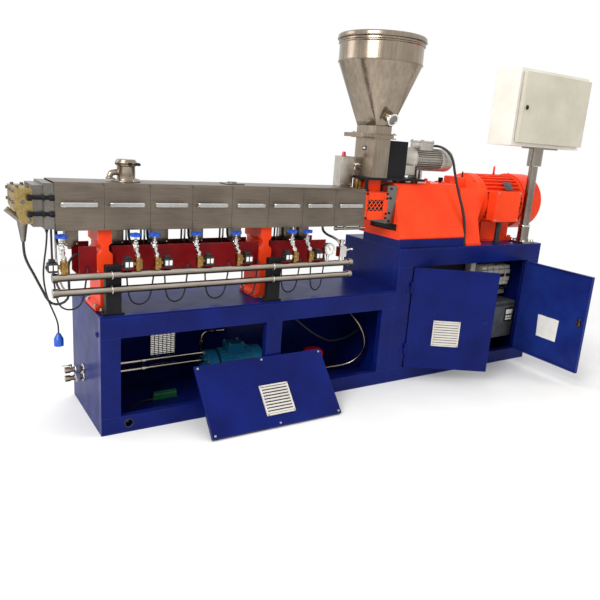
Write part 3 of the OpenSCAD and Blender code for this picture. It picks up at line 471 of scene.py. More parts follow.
def curve(points, steps=8):
    """A smooth line through points (centripetal Catmull-Rom), as a list of points on the drawing."""
    line = [Vector(p) for p in points]
    line = [2 * line[0] - line[1]] + line + [2 * line[-1] - line[-2]]
    out = []
    for p0, p1, p2, p3 in zip(line, line[1:], line[2:], line[3:]):
        t1 = (p1 - p0).length ** 0.5
        t2 = t1 + (p2 - p1).length ** 0.5
        t3 = t2 + (p3 - p2).length ** 0.5
        for k in range(steps):
            t = t1 + (t2 - t1) * k / steps
            a1 = p0.lerp(p1, t / t1)
            a2 = p1.lerp(p2, (t - t1) / (t2 - t1))
            a3 = p2.lerp(p3, (t - t2) / (t3 - t2))
            out.append(a1.lerp(a2, t / t2).lerp(a2.lerp(a3, (t - t1) / (t3 - t1)), (t - t1) / (t2 - t1)))
    return out + [line[-2]]


def even(points, count):
    """The same line as count points at equal steps."""
    steps = [0.0]
    for one, two in zip(points, points[1:]):
        steps.append(steps[-1] + (two - one).length)
    out, k = [], 0
    for i in range(count):
        want = steps[-1] * i / (count - 1)
        while k < len(points) - 2 and steps[k + 1] < want:
            k += 1
        out.append(points[k].lerp(points[k + 1], (want - steps[k]) / (steps[k + 1] - steps[k])))
    return out, steps[-1]


bend = even(curve([(100, 0, 0), (70.7, 70.7, 0), (0, 100, 0)]), 9)[1]
print("a quarter turn of 100 mm is drawn", round(bend), "mm long")

# %% [markdown]
# Three leads hang free. The feeder motor's lead drops past the gearbox into the cabinet, the die heater's cable
# swings in a loop to the first stand, and a thin lead ends in a round plug in the air. Each is a curve with a round
# section, laid on the same points as its solid, with a tapered sleeve where it enters a housing.

# %% Free leads


def lead(name, points, count, diameter, replaced=(),
         finish=cable_pvc):
    line, measured = even(curve(points), count)
    print(name, "measures", round(measured / 1000, 4), "m")
    path = bpy.data.curves.new(name, "CURVE")
    path.dimensions, path.bevel_depth, path.bevel_resolution, path.use_fill_caps = "3D", diameter / 2, 3, True
    spline = path.splines.new("POLY")
    spline.points.add(len(line) - 1)
    for dot, p in zip(spline.points, line):
        dot.co = (*at(*p), 1)
    spline.use_smooth = True
    path.materials.append(finish)
    thing = settle(show(name, path), "machine", replaced)


def sleeve(name, foot, tip, wide, narrow):
    """A tapered strain relief with a flange and four grooves."""
    axis = Vector(tip) - Vector(foot)
    tall = axis.length
    profile = [(0, 0), (wide + 3, 0), (wide + 3, 4), (wide, 5)]
    for k in range(4):
        low = 8 + (tall - 12) * k / 4
        r = wide + (narrow - wide) * k / 4
        profile += [(r, low), (r - 1.2, low + 1.5), (r - 1.2, low + 3.5), (r - 0.3, low + 5)]
    profile += [(narrow, tall - 1), (narrow - 0.5, tall), (0, tall)]
    Forge().lathe(foot, axis, profile, 20).piece(name, cable_pvc)


FEED_LEAD = [(2094, 200, 1470), (2130, 200, 1470), (2165, 180, 1470), (2192, 138, 1450), (2215, 100, 1400),
             (2235, 85, 1320), (2260, 75, 1240), (2285, 60, 1160), (2310, 42, 1080), (2331, 34, 1000),
             (2340, 30, 930), (2341, 30, 890), (2341, 30, 857)]
DIE_CABLE = [(x, 200, z) for x, z in (
    (-280.5, 926), (-280.5, 896), (-276.5, 858), (-264.5, 821), (-246, 781), (-221.8, 726), (-205.7, 689.4),
    (-189.5, 652.8), (-170.3, 630.4), (-142, 622), (-113.7, 630.4), (-97, 648), (-90, 674), (-90, 716), (-90, 762),
    (-90, 804), (-82.5, 832), (-62, 852.5), (-34, 860), (-8, 860), (20, 860))]
PLUG_LEAD = [(x, 150, z) for x, z in (
    (-190, 995), (-190, 960), (-196, 900), (-205, 840), (-210, 780), (-205, 715), (-190, 650), (-170, 595), (-156, 550),
    (-153, 525), (-153, 495))]
lead("feeder_motor_lead", FEED_LEAD, 36, 0.016, ["feed_lead"])
lead("die_heater_cable", DIE_CABLE, 36, 0.012, ["die_cable"])
lead("thin_plug_lead", PLUG_LEAD, 30, 0.008, ["plug_lead"])
sleeve("feeder_lead_sleeve", (2094, 200, 1470), (2128, 200, 1470), 13, 8.6)
sleeve("cabinet_lead_sleeve", (2341, 30, 857), (2341, 30, 897), 11, 8.6)
sleeve("plug_lead_sleeve", (-190, 150, 995), (-190, 150, 968), 9, 4.6)

# %% [markdown]
# Screws, ribs, rings and slats repeat. For those a Geometry Nodes tree takes a few points with a direction and
# grows the same shape on each. The result is turned into a plain mesh at once, so that nothing depends on the
# modifier later.

# %% Helpers that grow a repeated shape


def tree_with(name, **sizes):
    tree = bpy.data.node_groups.new(name, "GeometryNodeTree")
    tree.interface.new_socket("Points", in_out="INPUT", socket_type="NodeSocketGeometry")
    for label, value in sizes.items():
        kind = "NodeSocketInt" if isinstance(value, int) else "NodeSocketFloat"
        tree.interface.new_socket(label, in_out="INPUT", socket_type=kind).default_value = value
    tree.interface.new_socket("Finish", in_out="INPUT", socket_type="NodeSocketMaterial")
    tree.interface.new_socket("Result", in_out="OUTPUT", socket_type="NodeSocketGeometry")
    return tree, tree.nodes.new("NodeGroupInput").outputs


def close_tree(tree, inputs, shape):
    axis = add(tree, "GeometryNodeInputNamedAttribute", {"Name": "axis"}, data_type="FLOAT_VECTOR").outputs["Attribute"]
    turn = add(tree, "FunctionNodeAlignRotationToVector", {"Vector": axis}, axis="Z").outputs["Rotation"]
    placed = add(tree, "GeometryNodeInstanceOnPoints", {
        "Points": inputs["Points"], "Instance": shape, "Rotation": turn})
    real = add(tree, "GeometryNodeRealizeInstances", {"Geometry": placed.outputs["Instances"]})
    done = add(tree, "GeometryNodeSetMaterial", {"Geometry": real.outputs["Geometry"], "Material": inputs["Finish"]})
    add(tree, "NodeGroupOutput", {"Result": done.outputs["Geometry"]})


def grow(name, tree, points, finish, sizes, **how):
    """points is a list of (place on the drawing, direction); the tree's result becomes one plain piece."""
    seed = bpy.data.meshes.new(name + "_points")
    seed.from_pydata([at(*p) for p, _ in points], [], [])
    axes = seed.attributes.new("axis", "FLOAT_VECTOR", "POINT")
    for k, (_, axis) in enumerate(points):
        axes.data[k].vector = axis
    holder = show(name + "_points", seed)
    nodes_on = holder.modifiers.new("grow", "NODES")
    nodes_on.node_group = tree
    values = {"Finish": finish, **sizes}
    for item in tree.interface.items_tree:
        if item.in_out == "INPUT" and item.name in values:
            nodes_on[item.identifier] = values[item.name]
    view = bpy.context.evaluated_depsgraph_get()
    shell = bpy.data.meshes.new_from_object(holder.evaluated_get(view))
    holder.modifiers.remove(nodes_on)
    bpy.data.objects.remove(holder)
    shell.name = name
    hand_over(name, shell, finish, **how)


print("growing helpers ready")

# %% [markdown]
# A machine bolt is a hexagon head on a round washer. Both sizes hang on the width across the flats and the height,
# so one tree serves every bolt on the machine.

# %% A hexagon bolt with its washer
bolt_tree, size = tree_with("hexagon_bolts", Across=0.016, Height=0.008)
corner, rim, lift, thick = [maths(bolt_tree, "MULTIPLY", size[key], share) for key, share in (
    ("Across", 0.577), ("Across", 0.72), ("Height", 0.75), ("Height", 0.5))]
head = add(bolt_tree, "GeometryNodeMeshCylinder", {"Vertices": 6, "Radius": corner, "Depth": size["Height"]})
raised = add(bolt_tree, "GeometryNodeTransform", {
    "Geometry": head.outputs["Mesh"],
    "Translation": add(bolt_tree, "ShaderNodeCombineXYZ", {"Z": lift}).outputs["Vector"]})
washer = add(bolt_tree, "GeometryNodeMeshCylinder", {"Vertices": 16, "Radius": rim, "Depth": thick})
both = add(bolt_tree, "GeometryNodeJoinGeometry")
for part in (raised.outputs["Geometry"], washer.outputs["Mesh"]):
    bolt_tree.links.new(part, both.inputs["Geometry"])
close_tree(bolt_tree, size, both.outputs["Geometry"])
print("bolt tree has", len(bolt_tree.nodes), "nodes")

# %% [markdown]
# Cooling fins, slats and terminals are all plain bars, and a mesh or a grille is made of rings.

# %% Ribs round a motor, and rings
rib_tree, size = tree_with("ribs", Height=0.014, Thick=0.004, Length=0.2)
rib = add(rib_tree, "GeometryNodeMeshCube", {"Size": add(rib_tree, "ShaderNodeCombineXYZ", {
    "X": size["Length"], "Y": size["Thick"], "Z": size["Height"]}).outputs["Vector"]})
close_tree(rib_tree, size, rib.outputs["Mesh"])

ring_tree, size = tree_with("rings", Radius=0.05, Wire=0.003, Sides=40)
hoop = add(ring_tree, "GeometryNodeCurvePrimitiveCircle", {"Resolution": size["Sides"], "Radius": size["Radius"]})
wire = add(ring_tree, "GeometryNodeCurvePrimitiveCircle", {"Resolution": 8, "Radius": size["Wire"]})
torus = add(ring_tree, "GeometryNodeCurveToMesh", {
    "Curve": hoop.outputs["Curve"], "Profile Curve": wire.outputs["Curve"]})
close_tree(ring_tree, size, torus.outputs["Mesh"])
print("rib and ring trees ready")

# %% [markdown]
# Bolts stand in rows or on circles. Two functions lay out such points, and two more take their sizes in
# millimetres.

# %% Bolts and ribs in rows and in circles


def bolts(name, points, across, height, finish=zinc, **how):
    grow(name, bolt_tree, points, finish, {"Across": across * MM, "Height": height * MM}, **how)


def ribs(name, points, height, thick, length, finish, **how):
    grow(name, rib_tree, points, finish, {"Height": height * MM, "Thick": thick * MM, "Length": length * MM}, **how)


def grid(xs, ys, zs, axis):
    return [((x, y, z), axis) for x in xs for y in ys for z in zs]


def around(centre, radius, count, axis=None, u=(0, 1, 0), v=UP):
    """Points on a circle, half a step off u. Each looks outwards, or along the axis that is given."""
    angles = [2 * math.pi * (k + 0.5) / count for k in range(count)]
    outs = [math.cos(a) * Vector(u) + math.sin(a) * Vector(v) for a in angles]
    return [(Vector(centre) + radius * out, axis or out) for out in outs]


print("a row of two by two has", len(grid((0, 1), (0, 1), (0,), UP)), "points")

# %% [markdown]
# The barrel's covers lift off by bent pulls of polished bar. A flat section is swept along a path with round
# corners, so the pull has soft edges that catch the light as the real ones do.

# %% Cover pulls
ZONES, ZONE_L, BARREL_X0 = 8, 213.5, -166
COVER_Y, AXIS_Y, AXIS_Z, COVER_TOP = 81, 200, 1095, 1201.5
pulls = Forge()
flat_bar = [(-5, -8), (-2, -11), (2, -11), (5, -8), (5, 8), (2, 11), (-2, 11), (-5, 8)]
for i in range(ZONES):
    mid = BARREL_X0 + (i + 0.5) * ZONE_L - 6
    half = [(79, COVER_Y), (79, 68), (76, 59), (66, 54), (40, 54)]
    corners = [(mid - x, y) for x, y in half] + [(mid + x, y) for x, y in half[::-1]]
    pulls.sweep(curve([(x, y, AXIS_Z + 11) for x, y in corners], 4), flat_bar)
pulls.piece("cover_pulls", chrome, replaced=["cover_handles"])

# %% [markdown]
# Each water valve is a train of bought parts on the upper pipe: a brass body with a coil beside it, a plated elbow,
# a needle valve under a blue star knob, and a tube that rises to the barrel. The body, the plated parts, the tubes
# and the coils are four finishes, so they are four pieces, each repeated along the pipe.

# %% Water valves
PIPE_Z, PIPE_R, VALVE_Z = 795, 17, 820
VALVES = [(-150, -1), (179, -1), (270, 1), (482, 1), (698, 1), (1034, -1), (1131, 1)]
NEEDLE_Y, NEEDLE_Z, RISER_Y, RISER_Z, BARREL_FOOT = 42, 904, 150, 924, 1020
COIL_L = 44


def coil_start(x, side):
    return min(x + side * 27, x + side * (27 + COIL_L))


bodies, plated, risers, coils, tags = [Forge() for _ in range(5)]
for x, side in VALVES:
    bodies.hexagon((x, 0, PIPE_Z + PIPE_R - 1), (x, 0, VALVE_Z + 3), 24)
    bodies.box((x - 15, -15, VALVE_Z), (x + 15, 15, VALVE_Z + 48), 3)
    bodies.rod((x + side * 13, 0, VALVE_Z + 24), (x + side * 27, 0, VALVE_Z + 24), 10)
    bodies.hexagon((x, -14, VALVE_Z + 24), (x, -19, VALVE_Z + 24), 15)
    bodies.hexagon((x, 0, VALVE_Z + 46), (x, 0, VALVE_Z + 54), 22)
    plated.rod((x, -2, 868), (x, 42, 911), 8.5)
    plated.hexagon((x, 4, 874), (x, 14, 884), 22).hexagon((x, 26, 896), (x, 36, 906), 22)
    plated.lathe((x, NEEDLE_Y, NEEDLE_Z - 4), UP, [
        (0, 0), (10, 0), (12, 3), (12, 12), (9.5, 14), (9.5, 30), (13, 32), (13, 40), (8, 43), (8, 50), (5, 52),
        (5, 66), (0, 66)])
    plated.hexagon((x, NEEDLE_Y, NEEDLE_Z + 10), (x, NEEDLE_Y, NEEDLE_Z + 20), 27)
    plated.hexagon((x, NEEDLE_Y + 9, RISER_Z), (x, NEEDLE_Y + 24, RISER_Z), 19)
    risers.tube(curve([(x, y, z) for y, z in (
        (NEEDLE_Y + 20, RISER_Z), (100, RISER_Z), (128, RISER_Z + 4), (145, RISER_Z + 20), (RISER_Y, RISER_Z + 46),
        (RISER_Y, BARREL_FOOT - 30), (RISER_Y, BARREL_FOOT))], 4), 6)
    risers.hexagon((x, RISER_Y, BARREL_FOOT - 22), (x, RISER_Y, BARREL_FOOT), 19)
    low = coil_start(x, side)
    coils.box((low, -20, VALVE_Z + 4), (low + COIL_L, 22, VALVE_Z + 44), 4)
    coils.boxes(3, ((low + 3, -18, VALVE_Z + 2), (low + 41, 20, VALVE_Z + 46)),
                ((low + 9, -5, VALVE_Z + 43), (low + 35, 23, VALVE_Z + 58)))
    end = low if side < 0 else low + COIL_L
    coils.hexagon((end - side, 0, VALVE_Z + 24), (end + side * 6, 0, VALVE_Z + 24), 16)
    coils.rod((low + 22, 22, VALVE_Z + 51), (low + 22, 30, VALVE_Z + 51), 6.5)
    for shift in (5, 25):
        tags.box((low + shift, -20.7, VALVE_Z + 13), (low + shift + 14, -19.8, VALVE_Z + 36), 0.4)
bodies.piece("valve_bodies", brass, replaced=["water_valves"])
plated.piece("valve_fittings", chrome)
risers.piece("riser_tubes", black_enamel)
coils.piece("valve_coils", coil_plastic, replaced=["solenoid_coils"])
tags.piece("coil_blank_tags", blank_white)

# %% [markdown]
# Behind the valves, between the barrel and the trough, hang the connection boxes of the zones' heaters. Beside them
# a dark and a bright tube go down into the trough for each valve. The first pair stands left of the trough and
# turns to the lower pipe instead.

# %% Connection boxes and tubes under the barrel
INTO_TROUGH = [(222, 960), (224, 920), (232, 880)]
INTO_PIPE = [(222, 900), (216, 830), (180, 765), (110, 733), (14, 727)]
boxes, dark_tubes, bright_tubes, lid_screws = Forge(), Forge(), Forge(), []
for x0, x1 in ((-104, -50), (100, 160), (300, 384), (520, 572), (742, 790), (1060, 1108), (1160, 1220)):
    boxes.box((x0, 180, 900), (x1, 238, 1021), 3).box((x0 - 2, 173, 906), (x1 + 2, 181, 1014), 2)
    boxes.hexagon(((x0 + x1) / 2, 209, 901), ((x0 + x1) / 2, 209, 884), 26)
    lid_screws += grid((x0 + 5, x1 - 5), (173,), (913, 1007), FRONT)
for x, _ in VALVES:
    for tubes, shift in ((dark_tubes, -8), (bright_tubes, 10)):
        route = [(222, 1021)] + (INTO_TROUGH if x > 0 else INTO_PIPE)
        tubes.tube(curve([(x + shift, y, z) for y, z in route], 4), 5, 10)
        tubes.hexagon((x + shift, 222, 1021), (x + shift, 222, 1008), 15)
boxes.piece("zone_connection_boxes", cover_steel)
dark_tubes.piece("dark_return_tubes", cable_pvc, slot="black_paint")
bright_tubes.piece("bright_return_tubes", zinc)
bolts("connection_lid_screws", lid_screws, 6, 3)

# %% [markdown]
# The coils' leads droop in wide loops behind the pipes, almost down to the deck, and go up into the trough. They
# are free cords of 8 mm. Each loop is as wide as the room up to the next stand allows.

# %% Drooping coil leads
LOOPS = [(175, 0.555), (165, 0.549), (150, 0.541), (165, 0.549), (118, 0.524), (150, 0.541), (118, 0.524)]
DROOP = [(0.00, 30, 871), (0.02, 44, 871), (0.05, 62, 862), (0.08, 76, 830), (0.11, 82, 780), (0.14, 86, 725),
         (0.18, 88, 680), (0.27, 90, 642), (0.40, 91, 626), (0.52, 92, 622), (0.64, 92, 626), (0.77, 93, 642),
         (0.86, 94, 680), (0.91, 95, 730), (0.95, 96, 770), (0.985, 99, 794), (0.995, 105, 808), (1.00, 114, 812),
         (1.00, 122, 812)]
for k, ((x, side), (reach, length)) in enumerate(zip(VALVES, LOOPS)):
    middle = coil_start(x, side) + COIL_L / 2
    lead("coil_lead_%d" % (k + 1), [(middle + reach * share, y, z) for share, y, z in DROOP], 38, 0.008)

# %% [markdown]
# The two manifold pipes are held to black posts by U-bolts. A pressure gauge and a shut-off valve with a plated
# lever sit at the far end. The gauge's ticks are grown round its face; it has no numbers.

# %% U-bolts, gauge and shut-off
PIPE_PITCH, BOLT_R = 68, PIPE_R + 1.6
clamps = Forge()
for x in (56, 901):
    for z in (PIPE_Z, PIPE_Z - PIPE_PITCH):
        clamps.ring((x, 0, z), ALONG, BOLT_R, 2.6, 36, 10)
        for leg in (z - BOLT_R, z + BOLT_R):
            clamps.rod((x, 0, leg), (x, 19, leg), 2.6, 12)
clamps.piece("pipe_clamps", chrome)

GAUGE = Vector((1245, -18, 879))
gauge = Forge()
gauge.lathe(GAUGE, FRONT, [(28, -1), (30, 2.5), (33.5, 2.5), (34.5, 0), (34.5, -8), (28, -8), (28, -1)], 40)
gauge.hexagon((1245, 0, 834), (1245, 0, 846), 17)
gauge.piece("gauge_bezel", chrome)
Forge().lathe(GAUGE, FRONT, [(0, 0.6), (28.5, 0.6), (28.5, -0.4), (0, -0.4)], 40).piece("gauge_face", blank_white)
ticks = []
for k in range(31):
    a = math.radians(-135 + 270 * k / 30)
    out = Vector((math.sin(a), 0, math.cos(a)))
    ticks.append((GAUGE + 24 * out + Vector((0, -0.8, 0)), out))
ribs("gauge_ticks", ticks, 4.5, 0.8, 0.9, cable_pvc, slot="black_paint")


def turned(centre, degrees, axis):
    """A turn about a point on the drawing."""
    hub = at(*centre)
    return Matrix.Translation(hub) @ Matrix.Rotation(math.radians(degrees), 4, axis) @ Matrix.Translation(-hub)


pointer = Forge().box((1243.8, -20, 868), (1246.2, -18.9, 900), 0.3, turned(GAUGE, -40, "Y"))
pointer.rod((1245, -18, 879), (1245, -20.5, 879), 3).piece("gauge_pointer", cable_pvc, slot="black_paint")
TAP_X = 1337
lever = Forge().hexagon((TAP_X, 0, 892), (TAP_X, 0, 905), 30).rod((TAP_X, 0, 903), (TAP_X, 0, 917), 10)
lever.hexagon((TAP_X, 0, 915), (TAP_X, 0, 928), 25).hexagon((1356, 0, 866), (1366, 0, 866), 20)
lever.tube(curve([(1364, 0, 866), (1376, -1, 867), (1388, -4, 872), (1402, -6, 873)], 4), 5)
lever.rod((1398, -6, 873), (1409, -6, 872), 7).piece("shut_off_lever", chrome)
feed_tube = Forge().tube(curve([
    (1300, 150, 1020), (1300, 150, 985), (1301, 142, 958), (1308, 112, 940), (1322, 60, 928), (1333, 24, 912),
    (TAP_X, 12, 885), (TAP_X, 12, 868)], 5), 7)
feed_tube.hexagon((1300, 150, 1000), (1300, 150, 1020), 20).piece("shut_off_tube", bare_steel)

# %% [markdown]
# The feeder's gear motor is cast aluminium. Its gear case is turned, its fins are grown round the core, and the fan
# cowl has rounded shoulders. The terminal box sits on top, where the lead leaves.

# %% Feeder gear motor
FM_X, FM_Z = 1854, 1384
case = Forge()
for x, profile in (
        (FM_X, [(0, 0), (66, 0), (70, 4), (70, 14), (60, 18), (55, 32), (58, 60), (64, 82), (70, 90), (70, 106),
                (66, 110), (0, 110)]),
        (FM_X + 109, [(0, 0), (54, 0), (54, 208), (0, 208)]),
        (FM_X + 315, [(0, 0), (69, 0), (70, 3), (70, 78), (67, 90), (58, 98), (40, 100), (0, 100)])):
    case.lathe((x, AXIS_Y, FM_Z), ALONG, profile, 40)
case.box((FM_X + 8, 140, 1284), (FM_X + 98, 260, 1346), 8)
case.box((1985, 151, 1438), (2093, 249, 1488), 4).box((1983, 149, 1484), (2095, 251, 1496), 3)
case.boxes(2, *(((x, 160, 1266), (x + 14, 240, 1320)) for x in (1985, 2016)))
case.piece("feeder_gear_motor", cast_alloy, replaced=["feeder_motor"])
ribs("feeder_motor_fins", around((FM_X + 213, AXIS_Y, FM_Z), 60, 30), 20, 3.5, 200, cast_alloy)

# %% [markdown]
# The hopper turns from a square neck into a round drum. Each corner of the neck is the tip of a cone that covers a
# quarter of the circle, and four flat triangles lie between the cones. The skin is lofted with that rule, so it
# shades as smoothly as bent sheet.

# %% Hopper
FEED_X, HALF_X, HALF_Y, DRUM_R = 1648, 58, 90, 240
quarter = []
for k, (sx, sy) in enumerate(((1, 1), (-1, 1), (-1, -1), (1, -1))):
    for j in range(25):
        a = math.radians(90 * k + 3.75 * j)
        quarter.append((sx * HALF_X, sy * HALF_Y, DRUM_R * math.cos(a), DRUM_R * math.sin(a)))


def loop(share, z, grow_by=1.0):
    return [(FEED_X + grow_by * (cx + share * (rx - cx)), AXIS_Y + grow_by * (cy + share * (ry - cy)), z)
            for cx, cy, rx, ry in quarter]


skin = [loop(0, 1518), loop(0, 1558)] + [loop(k / 10, 1558 + 34 * k) for k in range(1, 11)]
skin += [loop(1, z, s) for z, s in (
    (1992, 1), (1995, 1.02), (1997, 1.029), (2001, 1.029), (2004, 1.02), (2006, 1), (2018, 1))]
foot, aim = Vector((1642, 128, 1638)), Vector((0.02, -0.902, -0.431))
hopper = Forge().loft(skin).rod(foot, foot + 105 * aim, 31, 32)
hopper.piece("round_to_square_hopper", hopper_steel, replaced=["feed_hopper"], angle=16)

# %% [markdown]
# Small things make the feeder read as a machine: the sight glass in its ring, the edge bands of the drum, the
# gate's screws, a blank plate, the junction box with a red cap, a block and a post under the plate, and a bar under
# the barrel.

# %% Feeder details
GATE_Z = 1488
Forge().lathe(foot + 92 * aim, aim, [
    (28, 0), (34, 0), (37, 3), (37, 13), (34, 16), (27, 16), (27, 0), (28, 0)], 36).piece("sight_glass_ring", chrome)
Forge().lathe(foot + 104 * aim, aim, [(0, 3), (20, 2.4), (27.5, 1), (27.5, 0), (0, 0)], 36).piece(
    "sight_glass", bare_steel)
bands = Forge()
for z, out in ((1900, 0), (2021, 11)):
    bands.ring((FEED_X, AXIS_Y, z), UP, DRUM_R + out, 4, 72, 8)
bands.piece("drum_bands", hopper_steel)
Forge().box((1587.5, 183, 1420), (1590.5, 217, 1442), 0.6).piece("body_window_frame", black_enamel)
Forge().box((1586.5, 189, 1426), (1588.5, 211, 1436), 0.3).piece("body_window_blank", blank_white)
gate = grid((FEED_X - 69, FEED_X + 69), (AXIS_Y - 101, AXIS_Y + 101), (GATE_Z + 30,), UP)
bolts("gate_screws", gate, 9, 4, hopper_steel)
Forge().box((1471, 245, 1205), (1556, 252, 1372), 3).piece("junction_box_lid", cast_alloy)
bolts("junction_box_screws", grid((1479, 1548), (245,), (1213, 1364), FRONT), 7, 3)
Forge().lathe((1506, 284, 1375.5), UP, [(0, 26), (7, 25), (11, 20), (12, 4), (15, 3), (15, 0), (0, 0)]).piece(
    "junction_red_cap", cap_red)
taps = Forge().rod((1560, 262, 1330), (1590, 262, 1330), 7).rod((1576, 262, 1330), (1576, 262, 1302), 8)
taps.hexagon((1560, 262, 1330), (1572, 262, 1330), 20).hexagon((1578, 262, 1330), (1590, 262, 1330), 20)
taps.hexagon((1576, 262, 1300), (1576, 262, 1312), 18).piece("feeder_fittings", chrome)
Forge().box((1546, 184, 1184.5), (1596, 226, 1252.5), 3).hexagon((1571, 205, 1196), (1571, 180, 1196), 22).piece(
    "plate_brass_block", brass)
post = Forge().rod((1572, 128, 1184.5), (1572, 128, 1252.5), 12, chamfer=1.5)
post.hexagon((1572, 128, 1185), (1572, 128, 1197), 32).piece("plate_black_post", black_enamel)
rest = Forge().rod((1352, 100, 974), (1566, 100, 974), 9)
rest.lathe((1350, 100, 974), ALONG, [(0, 0), (10, 0), (12, 2), (12, 14), (10, 16), (0, 16)])
rest.boxes(2, *(((x - 7, 93, 966), (x + 7, 107, 1026)) for x in (1420, 1536)))
rest.piece("screw_rest_bar", pipe_steel)

# %% [markdown]
# The coupling guard is a folded box with a small window of expanded mesh over a black sheet, painted shade inside
# the guard. Every diamond of the mesh is one ring with four corners, so the ring tree makes it too. Black screws hold
# the guard and the steel flange behind it, and a slatted slot with a black back sheet as painted shade is let into the
# gearbox below.

# %% Coupling guard
guard = Forge().boxes(
    0.8, ((1542, 80, 1182), (1708, 320, 1185)), ((1542, 80, 1025), (1708, 320, 1028)),
    ((1542, 317, 1025), (1708, 320, 1185)), ((1542, 80, 1025), (1558, 83, 1185)), ((1676, 80, 1025), (1708, 83, 1185)),
    ((1554, 80, 1025), (1680, 83, 1075)), ((1554, 80, 1141), (1680, 83, 1185)))
guard.piece("guard_box", orange_enamel, replaced=["coupling_guard"])
cells = grid([1558 + 29.5 * (i + 0.5) for i in range(4)], (81.6,), (1091.5, 1124.5), FRONT)
cells += grid([1558 + 29.5 * (i + 1) for i in range(3)], (81.6,), (1108,), FRONT)
grow("guard_mesh", ring_tree, cells, orange_enamel, {"Radius": 0.0165, "Wire": 0.0024, "Sides": 4}, angle=20)
# Black sheets behind the mesh window and at the back of the slot are painted shade.
shade_sheets = Forge().boxes(0.5, ((1548, 92, 1060), (1702, 95, 1156)), ((1803, 64, 956), (1809, 313, 996)),
                      *(((1788, 64, z - 1.5), (1803, 313, z + 1.5)) for z in (966, 976, 986)))
shade_sheets.piece("guard_and_slot_painted_shade", coil_plastic)
held = grid((1550,), (80,), (1034, 1176), FRONT) + grid((1699,), (80,), (1034, 1060, 1150, 1176), FRONT)
bolts("guard_screws", held + grid((1736,), (92,), (1014, 1062, 1150, 1206), FRONT), 11, 6, black_enamel)

# %% [markdown]
# The main motor gets what the solid leaves out: a blank rating plate, the grille of its fan, cover screws, a ribbed
# conduit, and the bolts of feet and flanges. All bolts of one size are one piece.

# %% Motor and gearbox details
MOTOR_Y, MOTOR_Z, COWL_X = 305, 1122, 3181
Forge().box((2806, MOTOR_Y - 189, MOTOR_Z - 32), (2884, MOTOR_Y - 184, MOTOR_Z + 32), 1,
            turned((0, MOTOR_Y, MOTOR_Z), -38, "X")).piece("blank_rating_plate", grey_plastic)
grille, hub = Forge(), Vector((COWL_X + 2, MOTOR_Y, MOTOR_Z))
for r in range(40, 161, 20):
    grille.ring(hub, ALONG, r, 3, 48, 8)
for k in range(6):
    a = math.radians(60 * k + 15)
    out = Vector((0, math.cos(a), math.sin(a)))
    grille.tube([hub + 18 * out, hub + 162 * out], 3, 8)
grille.lathe((COWL_X, MOTOR_Y, MOTOR_Z), ALONG, [(0, 5), (20, 5), (22, 0), (0, 0)]).piece("cowl_grille", orange_enamel)
# A black disc behind the grille is painted shade inside the fan cowl.
Forge().lathe((COWL_X, MOTOR_Y, MOTOR_Z), ALONG, [(0, 1.4), (164, 1.4), (164, 0.2), (0, 0.2)], 48).piece(
    "cowl_painted_shade_disc", coil_plastic)
pipe_line = even(curve([(2718, 84, 1012), (2718, 84, 976), (2715, 82, 930), (2712, 80, 890), (2712, 80, 857)]), 20)[0]
conduit = Forge().tube(pipe_line, 17.5, 20)
for k in range(1, 19):
    conduit.ring(pipe_line[k], pipe_line[k + 1] - pipe_line[k - 1], 17.5, 2.8, 24, 8)
conduit.hexagon((2718, 84, 1012), (2718, 84, 996), 46).hexagon((2712, 80, 857), (2712, 80, 872), 46)
conduit.piece("ribbed_conduit", coil_plastic, replaced=["motor_conduit"])
big = grid((2650, 2940), (MOTOR_Y - 140, MOTOR_Y + 140), (877,), UP)
big += grid((1830, 1960, 2090, 2220, 2300), (160, 405), (1240,), UP) + around((2560, MOTOR_Y, MOTOR_Z), 172, 10, LEFT)
bolts("drive_bolts", big, 22, 12, orange_enamel)
small = grid((2626, 2840), (41,), (1018, 1198), FRONT) + around((3006, MOTOR_Y, MOTOR_Z), 196, 6)
bolts("cover_screws", small + grid((1992, 2086), (158, 242), (1496,), UP), 10, 5)
Forge().box((2388, 226, 1190), (2494, 330, 1286), 9).piece("neck_cap", orange_enamel)
eye = Forge().ring((2470, 240, 1302), (0.66, -0.75, 0), 15, 4.5, 28, 10).rod((2470, 240, 1284), (2470, 240, 1291), 9)
eye.lathe((2296, 262, 1240), UP, [(0, 34), (12, 34), (16, 30), (16, 12), (12, 10), (12, 0), (0, 0)])
eye.piece("gearbox_eye_and_breather", black_enamel)

# %% [markdown]
# The die end: two black tie bars hold the die block to the barrel, hexagon bolts close its faces, and the vent port
# on the second zone has a clamp band and a bolted foot.

# %% Die and vent details
ties = Forge()
for z in (1133, 1062):
    ties.rod((-276, 81, z), (-168, 81, z), 7, 20).hexagon((-276, 81, z), (-258, 81, z), 25)
    ties.hexagon((-186, 81, z), (-168, 81, z), 25).rod((-214, 81, z), (-206, 81, z), 13)
    ties.box((-250, 84, z - 9), (-172, 99, z + 9), 2)
ties.piece("die_tie_bars", black_enamel)
face = grid((-323,), (118, 200, 282), (1110, 1158), LEFT) + [((-293, 95, 1112), FRONT), ((-266, 95, 1034), FRONT)]
bolts("die_bolts", face + grid((-308, -268), (130, 270), (1171,), UP), 13, 8, bare_steel)
VENT_X = 182
stack = Forge().lathe((VENT_X, AXIS_Y, COVER_TOP), UP, [
    (0, 0), (67, 0), (68, 1), (68, 5), (67, 6), (45, 6), (43, 8), (42, 12), (42, 70), (44, 73), (49, 75), (50, 77),
    (50, 90), (49, 93), (46, 95), (45, 99), (42, 103), (0, 104)], 48)
stack.tube(even(curve([(x, AXIS_Y, z) for x, z in (
    (150, 1243), (128, 1243), (112, 1238), (105, 1226), (104, 1212))]), 20)[0], 14, 20)
stack.lathe((104, AXIS_Y, 1212), UP, [(0, 0), (17, 0), (18, 1), (18, 7), (17, 8), (0, 8)], 28)
